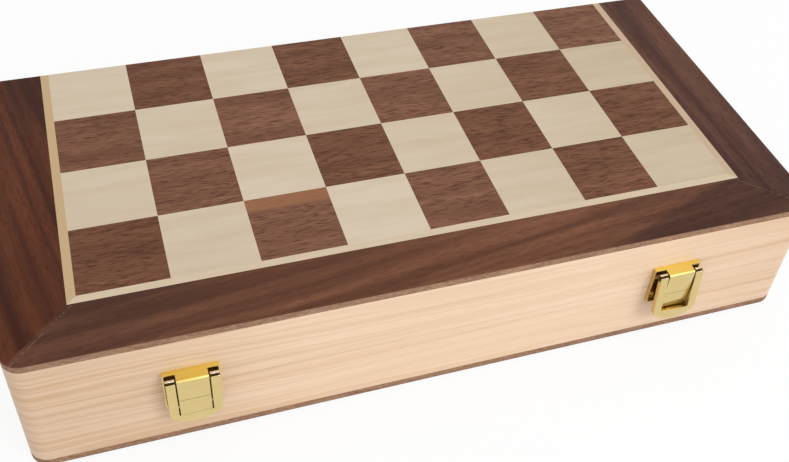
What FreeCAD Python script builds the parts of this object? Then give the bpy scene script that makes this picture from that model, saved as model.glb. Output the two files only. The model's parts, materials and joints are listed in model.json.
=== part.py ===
import FreeCAD, Part
import Sketcher
import os
from enum import IntEnum

from FreeCAD import Placement, Rotation, Vector

# A folding chess set: a shallow box of two equal halves whose outer faces make the board, with a
# pair of box latches in front, two butt hinges behind, and the chessmen bedded in foam inside.
# X runs along the box, +Y towards the hinges and +Z up, and the origin is the middle of the base.

SIZES = {
    # board
    "square_size": "39.5",
    "square_columns": "8",
    "square_rows": "4",
    "stringing_width": "4",
    "border_width": "28",
    "veneer_thickness": "0.6",
    "core_thickness": "3.4",
    # box
    "half_depth": "34.9",
    "seam_gap": "0.2",
    "wall_thickness": "10",
    "corner_radius": "9",
    # butt hinges
    "hinge_spacing": "220",
    "hinge_length": "38",
    "hinge_leaf_width": "8.5",
    "hinge_leaf_thickness": "1",
    "hinge_barrel_radius": "2",
    "hinge_pin_radius": "0.9",
    "hinge_knuckle_length": "12.4",
    "hinge_fold_gap": "0.15",
    "mortise_gap": "0.1",
    "knuckle_gap": "0.3",
    "pin_gap": "0.06",
    # box latches
    "latch_spacing": "235",
    "latch_width": "24.6",
    "lever_width": "23",
    "latch_sheet": "0.7",
    "latch_flange_depth": "2.5",
    "hood_width": "13.7",
    "hood_depth": "7",
    "hood_height": "13",
    "hood_bend_radius": "1.2",
    "catch_height": "9.2",
    "catch_ledge_height": "10.2",
    "latch_pin_radius": "0.8",
    "latch_pin_gap": "0.05",
    "eye_radius": "1.6",
    "eye_pin_gap": "0.08",
    "eye_slit": "0.7",
    "lever_bar_height": "6",
    "lever_lip_depth": "4",
    "lever_bottom_radius": "16",
    "lever_corner_radius": "5",
    "lever_rim_start": "2.4",
    "lever_side_gap": "0.65",
    "lever_ledge_gap": "0.3",
    "right_lever_tilt": "6",
    # foam beds
    "foam_thickness": "24",
    "foam_floor": "1",
    "foam_edge_gap": "0.3",
    "bed_columns": "8",
    "pocket_margin": "4",
    "pocket_gap": "0.8",
    "seat_gap": "0.3",
    # chessmen
    "pawn_flats": "8",
    "piece_flats": "12",
    "king_height": "72",
    "king_base_diameter": "27",
    "queen_height": "64",
    "queen_base_diameter": "26",
    "bishop_height": "54",
    "bishop_base_diameter": "23.6",
    "knight_height": "50",
    "knight_base_diameter": "23.6",
    "knight_head_thickness": "11.5",
    "rook_height": "43",
    "rook_base_diameter": "23.6",
    "pawn_height": "38",
    "pawn_base_diameter": "21",
}

# places on a sketch line or arc, which constraints count from 1
Spot = IntEnum("Spot", "START END CENTRE")
SKETCH_ORIGIN = -1
SAME_PLACE = 1e-6
HALVES = ("lower", "upper")
SIDES = {"left": -1, "right": 1}

doc = FreeCAD.newDocument("folding_chess_set")
sheet = doc.addObject("Spreadsheet::Sheet", "Sizes")
for row, (alias, value) in enumerate(SIZES.items(), start=1):
    sheet.set(f"A{row}", alias)
    sheet.set(f"B{row}", value)
    sheet.setAlias(f"B{row}", alias)
doc.recompute()

# lengths that follow from the sheet, as expressions
BOARD_LENGTH = "(Sizes.square_size * Sizes.square_columns)"
BOARD_DEPTH = "(Sizes.square_size * Sizes.square_rows)"
BOARD_EDGE = "(Sizes.stringing_width + Sizes.border_width)"
HALF_LENGTH = f"({BOARD_LENGTH} / 2 + {BOARD_EDGE})"
HALF_WIDTH = f"(({BOARD_DEPTH} + {BOARD_EDGE}) / 2)"
BOX_HEIGHT = "(2 * Sizes.half_depth + Sizes.seam_gap)"
SEAM = f"({BOX_HEIGHT} / 2)"
PANEL = "(Sizes.veneer_thickness + Sizes.core_thickness)"
WALL_HEIGHT = f"(Sizes.half_depth - {PANEL})"
CAVITY_HALF_LENGTH = f"({HALF_LENGTH} - Sizes.wall_thickness)"
CAVITY_HALF_WIDTH = f"({HALF_WIDTH} - Sizes.wall_thickness)"

nodes = []


def size(expression):
    """The number that an expression on the sheet comes to."""
    value = sheet.evalExpression(str(expression))
    return float(getattr(value, "Value", value))


def bind(item, **expressions):
    """Ties properties to expressions; a double underscore stands for a dot."""
    for name, expression in expressions.items():
        item.setExpression(name.replace("__", "."), str(expression))
    return item


def place(item, x="0", y="0", z="0"):
    return bind(item, Placement__Base__x=x, Placement__Base__y=y, Placement__Base__z=z)


def finish(item, name):
    """Names a finished sub-part and lists it for export."""
    item.Label = name
    nodes.append(item)
    return item


def level(half, low, thickness):
    """Where a layer starts above the base; the upper half mirrors the lower one."""
    if half == "lower":
        return low
    return f"({BOX_HEIGHT} - ({low}) - ({thickness}))"


def make_box(name, length, width, height, x="0", y="0", z="0"):
    box = doc.addObject("Part::Box", name)
    bind(box, Length=length, Width=width, Height=height)
    return place(box, x, y, z)


def make_rod(name, radius, length, x, y, z):
    """A cylinder along X from its low end."""
    rod = doc.addObject("Part::Cylinder", name)
    rod.Placement.Rotation = Rotation(Vector(0, 1, 0), 90)
    bind(rod, Radius=radius, Height=length)
    return place(rod, x, y, z)


def make_fuse(name, shapes):
    fuse = doc.addObject("Part::MultiFuse", name)
    fuse.Shapes = shapes
    return fuse


def make_cut(name, base, tool):
    cut = doc.addObject("Part::Cut", name)
    cut.Base = base
    cut.Tool = tool
    return cut


def make_common(name, base, tool):
    common = doc.addObject("Part::Common", name)
    common.Base = base
    common.Tool = tool
    return common


def make_group(name, shapes):
    group = doc.addObject("Part::Compound", name)
    group.Links = shapes
    return group


def make_copy(name, original):
    """Another of the same piece, with a placement of its own."""
    copy = doc.addObject("App::Link", name)
    copy.LinkedObject = original
    return copy


def make_sketch(body, name, plane="XY_Plane", offset="0"):
    sketch = body.newObject("Sketcher::SketchObject", name)
    planes = [item for item in body.Origin.OriginFeatures if item.Role == plane]
    sketch.AttachmentSupport = [(planes[0], "")]
    sketch.MapMode = "FlatFace"
    return bind(sketch, AttachmentOffset__Base__z=offset)


def hold_point(sketch, edge, end, x, y):
    """Dimensions a sketch point from the sketch's origin."""
    for kind, expression in (("DistanceX", x), ("DistanceY", y)):
        constraint = Sketcher.Constraint(kind, SKETCH_ORIGIN, Spot.START, edge, end, size(expression))
        number = sketch.addConstraint(constraint)
        bind(sketch, **{f"Constraints[{number}]": expression})


def join_ends(sketch, before, after):
    joined = Sketcher.Constraint("Coincident", before, Spot.END, after, Spot.START)
    sketch.addConstraint(joined)


def draw_outline(sketch, corners, arc_radius=None):
    """A closed outline through corners. With arc_radius, its last side is an arc that bulges out."""
    points = [Vector(size(x), size(y), 0) for x, y in corners]
    first = sketch.GeometryCount
    count = len(points)
    for index, point in enumerate(points):
        following = points[(index + 1) % count]
        if arc_radius is not None and index == count - 1:
            sketch.addGeometry(bulged_arc(point, following, size(arc_radius)))
        else:
            sketch.addGeometry(Part.LineSegment(point, following))
    for index in range(count - 1):
        join_ends(sketch, first + index, first + index + 1)
    join_ends(sketch, first + count - 1, first)
    for index, (x, y) in enumerate(corners):
        hold_point(sketch, first + index, Spot.START, x, y)
    if arc_radius is not None:
        number = sketch.addConstraint(
            Sketcher.Constraint("Radius", first + count - 1, size(arc_radius))
        )
        bind(sketch, **{f"Constraints[{number}]": arc_radius})


def bulged_arc(start, end, radius):
    """The shorter arc from start to end that turns to the left of the line between them."""
    chord = end - start
    middle = (start + end) * 0.5
    normal = Vector(chord.y, -chord.x, 0).normalize()
    sagitta = radius - (radius**2 - (chord.Length / 2) ** 2) ** 0.5
    return Part.Arc(start, middle + normal * sagitta, end)


def draw_circle(sketch, radius, x, y):
    circle = Part.Circle(Vector(size(x), size(y), 0), Vector(0, 0, 1), size(radius))
    number = sketch.addGeometry(circle)
    hold_point(sketch, number, Spot.CENTRE, x, y)
    radius_constraint = sketch.addConstraint(Sketcher.Constraint("Radius", number, size(radius)))
    bind(sketch, **{f"Constraints[{radius_constraint}]": radius})


def add_pad(body, sketch, length, midplane=False, reverse=False):
    pad = body.newObject("PartDesign::Pad", f"{sketch.Name}_pad")
    pad.Profile = sketch
    pad.Midplane = midplane
    pad.Reversed = reverse
    bind(pad, Length=length)
    sketch.Visibility = False
    return pad


def add_pocket(body, sketch, depth, midplane=False):
    """Cuts a sketch into the body against the sketch's normal, and checks that it cut."""
    doc.recompute()
    before = body.Shape.Volume
    pocket = body.newObject("PartDesign::Pocket", f"{sketch.Name}_pocket")
    pocket.Profile = sketch
    pocket.Midplane = midplane
    bind(pocket, Length=depth)
    sketch.Visibility = False
    doc.recompute()
    if body.Shape.Volume >= before:
        raise RuntimeError(f"{pocket.Name} cut nothing")
    return pocket


def add_fillet(body, radius, chosen):
    """Rounds those edges of the body's last feature whose middle and direction are chosen."""
    doc.recompute()
    base = body.Tip
    names = []
    for number, edge in enumerate(base.Shape.Edges, start=1):
        middle = edge.valueAt((edge.FirstParameter + edge.LastParameter) / 2)
        along = edge.tangentAt((edge.FirstParameter + edge.LastParameter) / 2)
        if chosen(middle, along):
            names.append(f"Edge{number}")
    if not names:
        raise RuntimeError(f"{body.Name} has no edge to round")
    fillet = body.newObject("PartDesign::Fillet", f"{body.Name}_fillet")
    fillet.Base = (base, names)
    bind(fillet, Radius=radius)
    return fillet


def is_vertical(along):
    return abs(along.z) > 0.99


# the box's outline, square at the fold and rounded at the two front corners

def make_outline_block():
    body = doc.addObject("PartDesign::Body", "outline_block")
    sketch = make_sketch(body, "outline")
    draw_outline(
        sketch,
        [
            (f"-{HALF_LENGTH}", f"-{HALF_WIDTH}"),
            (HALF_LENGTH, f"-{HALF_WIDTH}"),
            (HALF_LENGTH, HALF_WIDTH),
            (f"-{HALF_LENGTH}", HALF_WIDTH),
        ],
    )
    add_pad(body, sketch, BOX_HEIGHT)
    add_fillet(body, "Sizes.corner_radius", lambda middle, along: is_vertical(along) and middle.y < 0)
    return body


def trim_to_outline(name, blank):
    """Cuts a blank that reaches the outside of the box to the box's rounded outline."""
    return finish(make_common(name, blank, outline_block), name)


# the board, an inlaid veneer on a plywood core

def make_core(half):
    name = f"{half}_board_core"
    blank = make_box(
        f"{name}_blank",
        f"2 * {HALF_LENGTH}",
        f"2 * {HALF_WIDTH}",
        "Sizes.core_thickness",
        f"-{HALF_LENGTH}",
        f"-{HALF_WIDTH}",
        level(half, "Sizes.veneer_thickness", "Sizes.core_thickness"),
    )
    trim_to_outline(name, blank)


def make_squares(half):
    """The squares of one half board; the upper half starts dark at its front left corner."""
    squares = {"dark": [], "light": []}
    first_shade = 0 if half == "upper" else 1
    for column in range(int(SIZES["square_columns"])):
        for line in range(int(SIZES["square_rows"])):
            shade = ("dark", "light")[(column + line + first_shade) % 2]
            square = make_box(
                f"{half}_square_{column}_{line}",
                "Sizes.square_size",
                "Sizes.square_size",
                "Sizes.veneer_thickness",
                f"{column} * Sizes.square_size - {BOARD_LENGTH} / 2",
                f"{line} * Sizes.square_size + {HALF_WIDTH} - {BOARD_DEPTH}",
                level(half, "0", "Sizes.veneer_thickness"),
            )
            squares[shade].append(square)
    for shade, boxes in squares.items():
        name = f"{half}_{shade}_squares"
        finish(make_group(name, boxes), name)


def make_strip(name, half, corners):
    """A veneer strip with mitred ends."""
    body = doc.addObject("PartDesign::Body", name)
    sketch = make_sketch(body, f"{name}_outline")
    draw_outline(sketch, corners)
    add_pad(body, sketch, "Sizes.veneer_thickness")
    return place(body, z=level(half, "0", "Sizes.veneer_thickness"))


def mitred_frame(inner, width):
    """Corners of the left, front and right strips of a three-sided frame round the squares."""
    far = f"({BOARD_LENGTH} / 2 + {inner} + {width})"
    near = f"({BOARD_LENGTH} / 2 + {inner})"
    front = f"({HALF_WIDTH} - {BOARD_DEPTH} - {inner} - {width})"
    back = f"({HALF_WIDTH} - {BOARD_DEPTH} - {inner})"
    fold = HALF_WIDTH
    return {
        "left": [
            (f"-{far}", front),
            (f"-{near}", back),
            (f"-{near}", fold),
            (f"-{far}", fold),
        ],
        "front": [(f"-{far}", front), (far, front), (near, back), (f"-{near}", back)],
        "right": [(far, front), (far, fold), (near, fold), (near, back)],
    }


def make_stringing(half):
    name = f"{half}_stringing"
    frame = mitred_frame("0", "Sizes.stringing_width")
    strips = [make_strip(f"{name}_{side}", half, corners) for side, corners in frame.items()]
    finish(make_group(name, strips), name)


def make_border(half):
    frame = mitred_frame("Sizes.stringing_width", "Sizes.border_width")
    for side, corners in frame.items():
        name = f"{half}_{side}_border"
        trim_to_outline(name, make_strip(f"{name}_blank", half, corners))


# the four walls of a half, butted, with the long walls over the ends of the short ones

def make_walls(half):
    base = level(half, PANEL, WALL_HEIGHT)
    wall = "Sizes.wall_thickness"
    front = make_box(
        f"{half}_front_blank",
        f"2 * {HALF_LENGTH}",
        wall,
        WALL_HEIGHT,
        f"-{HALF_LENGTH}",
        f"-{HALF_WIDTH}",
        base,
    )
    trim_to_outline(f"{half}_front_wall", front)
    for side, x in (("left", f"-{HALF_LENGTH}"), ("right", CAVITY_HALF_LENGTH)):
        blank = make_box(
            f"{half}_{side}_blank",
            wall,
            f"2 * {CAVITY_HALF_WIDTH}",
            WALL_HEIGHT,
            x,
            f"-{CAVITY_HALF_WIDTH}",
            base,
        )
        trim_to_outline(f"{half}_{side}_wall", blank)
    back = make_box(
        f"{half}_back_blank",
        f"2 * {HALF_LENGTH}",
        wall,
        WALL_HEIGHT,
        f"-{HALF_LENGTH}",
        CAVITY_HALF_WIDTH,
        base,
    )
    cuts = []
    for side in SIDES:
        cuts += hinge_mortise(half, side)
    name = f"{half}_back_wall"
    finish(make_cut(name, back, make_fuse(f"{half}_mortises", cuts)), name)


# butt hinges, let into the rims, with the barrel centred on the seam behind the back walls

HINGE_AXIS_Y = f"({HALF_WIDTH} + Sizes.hinge_fold_gap)"
KNUCKLE_CLEARANCE = "(Sizes.hinge_barrel_radius + Sizes.knuckle_gap)"


def hinge_centre(side):
    return f"({SIDES[side]} * Sizes.hinge_spacing / 2)"


def leaf_low(half, thickness="Sizes.hinge_leaf_thickness"):
    """The height at which a leaf, or a cut as deep as thickness, starts below its rim."""
    return level(half, f"(Sizes.half_depth - {thickness})", thickness)


def hinge_mortise(half, side):
    """What the back wall loses to one hinge: the leaf's bed and the barrel's hollow."""
    name = f"{half}_{side}_mortise"
    centre = hinge_centre(side)
    depth = "(Sizes.hinge_leaf_thickness + Sizes.mortise_gap)"
    bed = make_box(
        f"{name}_bed",
        "Sizes.hinge_length + 2 * Sizes.mortise_gap",
        "Sizes.hinge_leaf_width + Sizes.mortise_gap",
        depth,
        f"{centre} - Sizes.hinge_length / 2 - Sizes.mortise_gap",
        f"{HALF_WIDTH} - Sizes.hinge_leaf_width - Sizes.mortise_gap",
        leaf_low(half, depth),
    )
    hollow = make_rod(
        f"{name}_hollow",
        KNUCKLE_CLEARANCE,
        "Sizes.hinge_length + 2 * Sizes.mortise_gap",
        f"{centre} - Sizes.hinge_length / 2 - Sizes.mortise_gap",
        HINGE_AXIS_Y,
        SEAM,
    )
    return [bed, hollow]


def knuckle_spans(half, side):
    """Start and length of the knuckles that a leaf carries: two outside below, one inside above."""
    centre = hinge_centre(side)
    start = f"({centre} - Sizes.hinge_length / 2)"
    inner = "(Sizes.hinge_length - 2 * Sizes.hinge_knuckle_length)"
    if half == "lower":
        second = f"({start} + Sizes.hinge_length - Sizes.hinge_knuckle_length)"
        return [
            (start, "Sizes.hinge_knuckle_length"),
            (second, "Sizes.hinge_knuckle_length"),
        ]
    return [
        (
            f"({start} + Sizes.hinge_knuckle_length + Sizes.knuckle_gap)",
            f"({inner} - 2 * Sizes.knuckle_gap)",
        )
    ]


def make_hinge_leaf(half, side):
    name = f"{side}_hinge_{half}_leaf"
    other = "upper" if half == "lower" else "lower"
    plate = make_box(
        f"{name}_plate",
        "Sizes.hinge_length",
        "Sizes.hinge_leaf_width + Sizes.hinge_fold_gap",
        "Sizes.hinge_leaf_thickness",
        f"{hinge_centre(side)} - Sizes.hinge_length / 2",
        f"{HALF_WIDTH} - Sizes.hinge_leaf_width",
        leaf_low(half),
    )
    own = [
        make_rod(f"{name}_knuckle_{number}", "Sizes.hinge_barrel_radius", length, start,
                 HINGE_AXIS_Y, SEAM)
        for number, (start, length) in enumerate(knuckle_spans(half, side))
    ]
    notches = [
        make_box(
            f"{name}_notch_{number}",
            f"{length} + 2 * Sizes.knuckle_gap",
            KNUCKLE_CLEARANCE,
            "Sizes.hinge_leaf_thickness",
            f"{start} - Sizes.knuckle_gap",
            f"{HINGE_AXIS_Y} - {KNUCKLE_CLEARANCE}",
            leaf_low(half),
        )
        for number, (start, length) in enumerate(knuckle_spans(other, side))
    ]
    bore = make_rod(
        f"{name}_bore",
        "Sizes.hinge_pin_radius + Sizes.pin_gap",
        "Sizes.hinge_length + 2 * Sizes.knuckle_gap",
        f"{hinge_centre(side)} - Sizes.hinge_length / 2 - Sizes.knuckle_gap",
        HINGE_AXIS_Y,
        SEAM,
    )
    solid = make_fuse(f"{name}_solid", [plate] + own)
    cuts = make_fuse(f"{name}_cuts", notches + [bore])
    finish(make_cut(name, solid, cuts), name)


def make_hinge_pin(side):
    name = f"{side}_hinge_pin"
    pin = make_rod(
        name,
        "Sizes.hinge_pin_radius",
        "Sizes.hinge_length",
        f"{hinge_centre(side)} - Sizes.hinge_length / 2",
        HINGE_AXIS_Y,
        SEAM,
    )
    finish(pin, name)


# box latches of folded brass sheet; each body's origin is on the front wall at the seam

HALF_LATCH = "(Sizes.latch_width / 2)"
HALF_LEVER = "(Sizes.lever_width / 2)"
HALF_HOOD = "(Sizes.hood_width / 2)"
HALF_SEAM = "(Sizes.seam_gap / 2)"
LATCH_PIN_DEPTH = "(Sizes.hood_depth - Sizes.eye_radius)"
LATCH_PIN_HEIGHT = "(Sizes.hood_height - Sizes.eye_radius)"


def latch_centre(side):
    return f"({SIDES[side]} * Sizes.latch_spacing / 2)"


def place_on_front(body, side):
    return place(body, latch_centre(side), f"-{HALF_WIDTH}", SEAM)


def rectangle(left, right, low, high):
    return [(left, low), (right, low), (right, high), (left, high)]


def make_latch_plate(side):
    """The fixed plate on the upper half, with a hood that holds the lever's pin."""
    name = f"{side}_latch_plate"
    body = doc.addObject("PartDesign::Body", name)
    low, high = HALF_SEAM, "Sizes.hood_height"
    add_hooded_tray(body, name, low, high, high, low_wall=False)
    bore = make_sketch(body, f"{name}_bore", "YZ_Plane")
    draw_circle(
        bore,
        "Sizes.latch_pin_radius + Sizes.latch_pin_gap",
        f"-{LATCH_PIN_DEPTH}",
        LATCH_PIN_HEIGHT,
    )
    add_pocket(body, bore, "2 * Sizes.hood_width", midplane=True)
    finish(place_on_front(body, side), name)


def make_latch_catch(side):
    """The fixed catch on the lower half; the lever's bar hooks under its ledge."""
    name = f"{side}_latch_catch"
    body = doc.addObject("PartDesign::Body", name)
    low = "-Sizes.catch_height"
    add_hooded_tray(body, name, low, f"-{HALF_SEAM}", "-Sizes.catch_ledge_height", low_wall=True)
    finish(place_on_front(body, side), name)


def add_hooded_tray(body, name, low, high, hood_end, low_wall):
    """A flanged plate with a deeper hood in its middle, as one folded piece."""
    sheet_size = "Sizes.latch_sheet"
    hood_low, hood_high = (low, hood_end) if not low_wall else (hood_end, high)
    pan = make_sketch(body, f"{name}_pan", "XZ_Plane")
    draw_outline(pan, rectangle(f"-{HALF_LATCH}", HALF_LATCH, low, high))
    add_pad(body, pan, "Sizes.latch_flange_depth")
    inside = make_sketch(body, f"{name}_pan_inside", "XZ_Plane", "Sizes.latch_flange_depth")
    half_inside = f"({HALF_LATCH} - {sheet_size})"
    inside_low, inside_high = inner_ends(low, high, low_wall)
    draw_outline(inside, rectangle(f"-{half_inside}", half_inside, inside_low, inside_high))
    add_pocket(body, inside, f"Sizes.latch_flange_depth - {sheet_size}")
    hood = make_sketch(body, f"{name}_hood", "XZ_Plane")
    draw_outline(hood, rectangle(f"-{HALF_HOOD}", HALF_HOOD, hood_low, hood_high))
    add_pad(body, hood, "Sizes.hood_depth")
    bend = hood_low if low_wall else hood_high
    front = -size("Sizes.hood_depth")
    add_fillet(
        body,
        "Sizes.hood_bend_radius",
        lambda middle, along: abs(along.x) > 0.99
        and abs(middle.y - front) < SAME_PLACE
        and abs(middle.z - size(bend)) < SAME_PLACE,
    )
    hollow = make_sketch(
        body, f"{name}_hood_inside", "XZ_Plane", f"(Sizes.hood_depth - {sheet_size})"
    )
    half_hollow = f"({HALF_HOOD} - {sheet_size})"
    hollow_low, hollow_high = inner_ends(hood_low, hood_high, low_wall)
    draw_outline(hollow, rectangle(f"-{half_hollow}", half_hollow, hollow_low, hollow_high))
    add_pocket(body, hollow, f"Sizes.hood_depth - 2 * {sheet_size}")


def inner_ends(low, high, low_wall):
    """A tray's inside runs out through its end at the seam and stops short of the other."""
    if low_wall:
        return f"({low} + Sizes.latch_sheet)", f"({high} + Sizes.latch_sheet)"
    return f"({low} - Sizes.latch_sheet)", f"({high} - Sizes.latch_sheet)"


def make_latch_pin(side):
    name = f"{side}_latch_pin"
    pin = make_rod(
        name,
        "Sizes.latch_pin_radius",
        "Sizes.lever_width",
        f"{latch_centre(side)} - {HALF_LEVER}",
        f"-({HALF_WIDTH} + {LATCH_PIN_DEPTH})",
        f"{SEAM} + {LATCH_PIN_HEIGHT}",
    )
    finish(pin, name)


# the lever's origin is on its pin; its front lies one eye radius out from there

LEVER_BAR_TOP = f"({LATCH_PIN_HEIGHT} + Sizes.catch_ledge_height + Sizes.lever_ledge_gap)"
LEVER_WINDOW = f"({HALF_HOOD} + Sizes.lever_side_gap)"


def draw_lever_outline(sketch, inset, top):
    """The lever's front outline: straight sides and an arched bottom edge."""
    half = f"({HALF_LEVER} - {inset})"
    shoulder = (
        f"({LEVER_BAR_TOP} + Sizes.lever_bar_height - Sizes.lever_bottom_radius"
        f" + sqrt((Sizes.lever_bottom_radius - {inset})^2 - {half}^2))"
    )
    corners = [
        (half, f"-{shoulder}"),
        (half, f"-{top}"),
        (f"-{half}", f"-{top}"),
        (f"-{half}", f"-{shoulder}"),
    ]
    draw_outline(sketch, corners, f"(Sizes.lever_bottom_radius - {inset})")


def make_latch_lever(side):
    """The swinging lever: a pressed frame round a window, with a lip that hooks and two rolled eyes."""
    name = f"{side}_latch_lever"
    body = doc.addObject("PartDesign::Body", name)
    sheet_size = "Sizes.latch_sheet"
    front = "Sizes.eye_radius"
    outer = make_sketch(body, f"{name}_outer", "XZ_Plane", front)
    draw_lever_outline(outer, "0", "Sizes.lever_rim_start")
    add_pad(body, outer, "Sizes.latch_flange_depth", reverse=True)
    bar_top = size(LEVER_BAR_TOP)
    add_fillet(
        body,
        "Sizes.lever_corner_radius",
        lambda middle, along: abs(along.y) > 0.99 and middle.z < -bar_top / 2,
    )
    inner = make_sketch(body, f"{name}_inner", "XZ_Plane", f"{front} - {sheet_size}")
    draw_lever_outline(inner, sheet_size, f"(Sizes.lever_rim_start - {sheet_size})")
    add_pocket(body, inner, "Sizes.latch_flange_depth")
    arms = make_sketch(body, f"{name}_arms", "XZ_Plane", front)
    draw_outline(
        arms,
        rectangle(LEVER_WINDOW, HALF_LEVER, "-(Sizes.lever_rim_start + Sizes.latch_sheet)", "0"),
    )
    draw_outline(
        arms,
        rectangle(
            f"-{HALF_LEVER}", f"-{LEVER_WINDOW}", "-(Sizes.lever_rim_start + Sizes.latch_sheet)", "0"
        ),
    )
    add_pad(body, arms, sheet_size, reverse=True)
    window = make_sketch(body, f"{name}_window", "XZ_Plane", front)
    draw_outline(
        window, rectangle(f"-{LEVER_WINDOW}", LEVER_WINDOW, f"-{LEVER_BAR_TOP}", "Sizes.eye_radius")
    )
    add_pocket(body, window, sheet_size)
    lip = make_sketch(body, f"{name}_lip", "XZ_Plane", front)
    lip_low = f"-({LEVER_BAR_TOP} + {sheet_size})"
    draw_outline(
        lip, rectangle(f"-{LEVER_WINDOW}", LEVER_WINDOW, lip_low, f"-{LEVER_BAR_TOP}")
    )
    add_pad(body, lip, "Sizes.lever_lip_depth", reverse=True)
    for end, start in (("left", f"-{HALF_LEVER}"), ("right", LEVER_WINDOW)):
        eye = make_sketch(body, f"{name}_{end}_eye", "YZ_Plane", start)
        draw_circle(eye, "Sizes.eye_radius", "0", "0")
        draw_circle(eye, "Sizes.latch_pin_radius + Sizes.eye_pin_gap", "0", "0")
        add_pad(body, eye, f"{HALF_LEVER} - {LEVER_WINDOW}")
    slit = make_sketch(body, f"{name}_slit", "YZ_Plane")
    draw_outline(slit, slit_corners())
    add_pocket(body, slit, "2 * Sizes.latch_width", midplane=True)
    place(
        body,
        latch_centre(side),
        f"-({HALF_WIDTH} + {LATCH_PIN_DEPTH})",
        f"{SEAM} + {LATCH_PIN_HEIGHT}",
    )
    if side == "right":
        body.Placement.Rotation = Rotation(Vector(-1, 0, 0), size("Sizes.right_lever_tilt"))
        bind(body, Placement__Rotation__Angle="Sizes.right_lever_tilt * 1 deg")
    finish(body, name)


def slit_corners():
    """The gap where an eye's rolled end meets its arm, up and out at 45 degrees."""
    slope = "sqrt(0.5)"
    near = "Sizes.latch_pin_radius"
    far = "2 * Sizes.eye_radius"
    half = "Sizes.eye_slit / 2"
    return [
        (f"-{slope} * ({near} + {half})", f"{slope} * ({near} - {half})"),
        (f"-{slope} * ({near} - {half})", f"{slope} * ({near} + {half})"),
        (f"-{slope} * ({far} - {half})", f"{slope} * ({far} + {half})"),
        (f"-{slope} * ({far} + {half})", f"{slope} * ({far} - {half})"),
    ]


# chessmen, each upright with its base at the origin, turned with a few flats to the circle

# outlines as shares of the man's base radius and height
PROFILES = {
    "pawn": ((1, 0), (1, 0.12), (0.42, 0.34), (0.34, 0.56), (0.66, 0.61), (0.36, 0.67),
             (0.58, 0.78), (0.54, 0.91), (0.26, 1)),
    "rook": ((1, 0), (1, 0.12), (0.56, 0.34), (0.5, 0.64), (0.74, 0.72), (0.74, 1)),
    "knight": ((1, 0), (1, 0.12), (0.62, 0.28), (0.8, 0.36)),
    "bishop": ((1, 0), (1, 0.1), (0.42, 0.3), (0.3, 0.56), (0.56, 0.6), (0.3, 0.65),
               (0.5, 0.76), (0.1, 0.93), (0.16, 0.97), (0.08, 1)),
    "queen": ((1, 0), (1, 0.09), (0.42, 0.28), (0.26, 0.6), (0.5, 0.64), (0.28, 0.69),
              (0.56, 0.9), (0.14, 0.94), (0.2, 0.975), (0.08, 1)),
    "king": ((1, 0), (1, 0.09), (0.42, 0.27), (0.28, 0.58), (0.5, 0.62), (0.3, 0.67),
             (0.54, 0.84), (0.1, 0.9)),
}

ROOK_WELL = (0.5, 0.9)
ROOK_NOTCH = (0.36, 0.92)

BISHOP_CUT = ((0.1, 0.76), (0.6, 0.88), (0.6, 0.92), (0.06, 0.785))

KING_CROSS = (
    (0.08, 0.88), (0.08, 0.935), (0.26, 0.935), (0.26, 0.965), (0.08, 0.965), (0.08, 1),
    (-0.08, 1), (-0.08, 0.965), (-0.26, 0.965), (-0.26, 0.935), (-0.08, 0.935), (-0.08, 0.88),
)

KNIGHT_HEAD = (
    (0.6, 0.34), (0.66, 0.5), (0.38, 0.58), (0.55, 0.62), (0.95, 0.6), (1.08, 0.67),
    (0.9, 0.75), (0.5, 0.86), (0.4, 0.94), (0.28, 1), (0.06, 0.93), (-0.42, 0.86),
    (-0.76, 0.71), (-0.8, 0.52), (-0.62, 0.34),
)

# how far up a man its wide base goes, as a share of its height
BASE_ZONE = 0.34

BACK_RANK = ("rook", "knight", "bishop", "queen", "king", "bishop", "knight", "rook")
SHADES = {"lower": "light", "upper": "dark"}


def base_radius(kind):
    return f"(Sizes.{kind}_base_diameter / 2)"


def scaled(kind, points):
    return [(f"{x} * {base_radius(kind)}", f"{z} * Sizes.{kind}_height") for x, z in points]


def flat_count(kind):
    return "Sizes.pawn_flats" if kind == "pawn" else "Sizes.piece_flats"


def make_turning(kind):
    """A man's body with flats for its round: what its outline leaves from several sides."""
    right = list(PROFILES[kind])
    left = [(-share, height) for share, height in reversed(right)]
    sides = [make_sawn(f"{kind}_side", kind, right + left, f"1.2 * Sizes.{kind}_base_diameter")]
    for number in range(1, int(size(flat_count(kind))) // 2):
        copy = make_copy(f"{kind}_side_{number}", sides[0])
        copy.Placement = Placement(Vector(), Rotation(Vector(0, 0, 1), 1))
        bind(copy, Placement__Rotation__Angle=f"{number} * 360 deg / {flat_count(kind)}")
        sides.append(copy)
    turning = doc.addObject("Part::MultiCommon", f"{kind}_turning")
    turning.Shapes = sides
    return turning


def make_sawn(name, kind, points, thickness):
    """A flat piece sawn to a profile that stands upright on the man's axis."""
    body = doc.addObject("PartDesign::Body", name)
    sketch = make_sketch(body, f"{name}_profile", "XZ_Plane")
    draw_outline(sketch, scaled(kind, points))
    add_pad(body, sketch, thickness, midplane=True)
    return body


def make_rook():
    """The rook's crown has a well and is notched by two crossed cuts."""
    height = "Sizes.rook_height"
    radius, floor = ROOK_WELL
    well = doc.addObject("Part::Prism", "rook_well")
    bind(
        well,
        Polygon=flat_count("rook"),
        Circumradius=f"{radius} * {base_radius('rook')}",
        Height=height,
    )
    cuts = [place(well, z=f"{floor} * {height}")]
    width, notch_floor = ROOK_NOTCH
    notch = f"{width} * {base_radius('rook')}"
    across = f"2 * {base_radius('rook')}"
    for number, (length, depth) in enumerate(((notch, across), (across, notch))):
        box = make_box(
            f"rook_notch_{number}",
            length,
            depth,
            height,
            f"-({length}) / 2",
            f"-({depth}) / 2",
            f"{notch_floor} * {height}",
        )
        cuts.append(box)
    return make_cut("rook", make_turning("rook"), make_fuse("rook_cuts", cuts))


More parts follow.
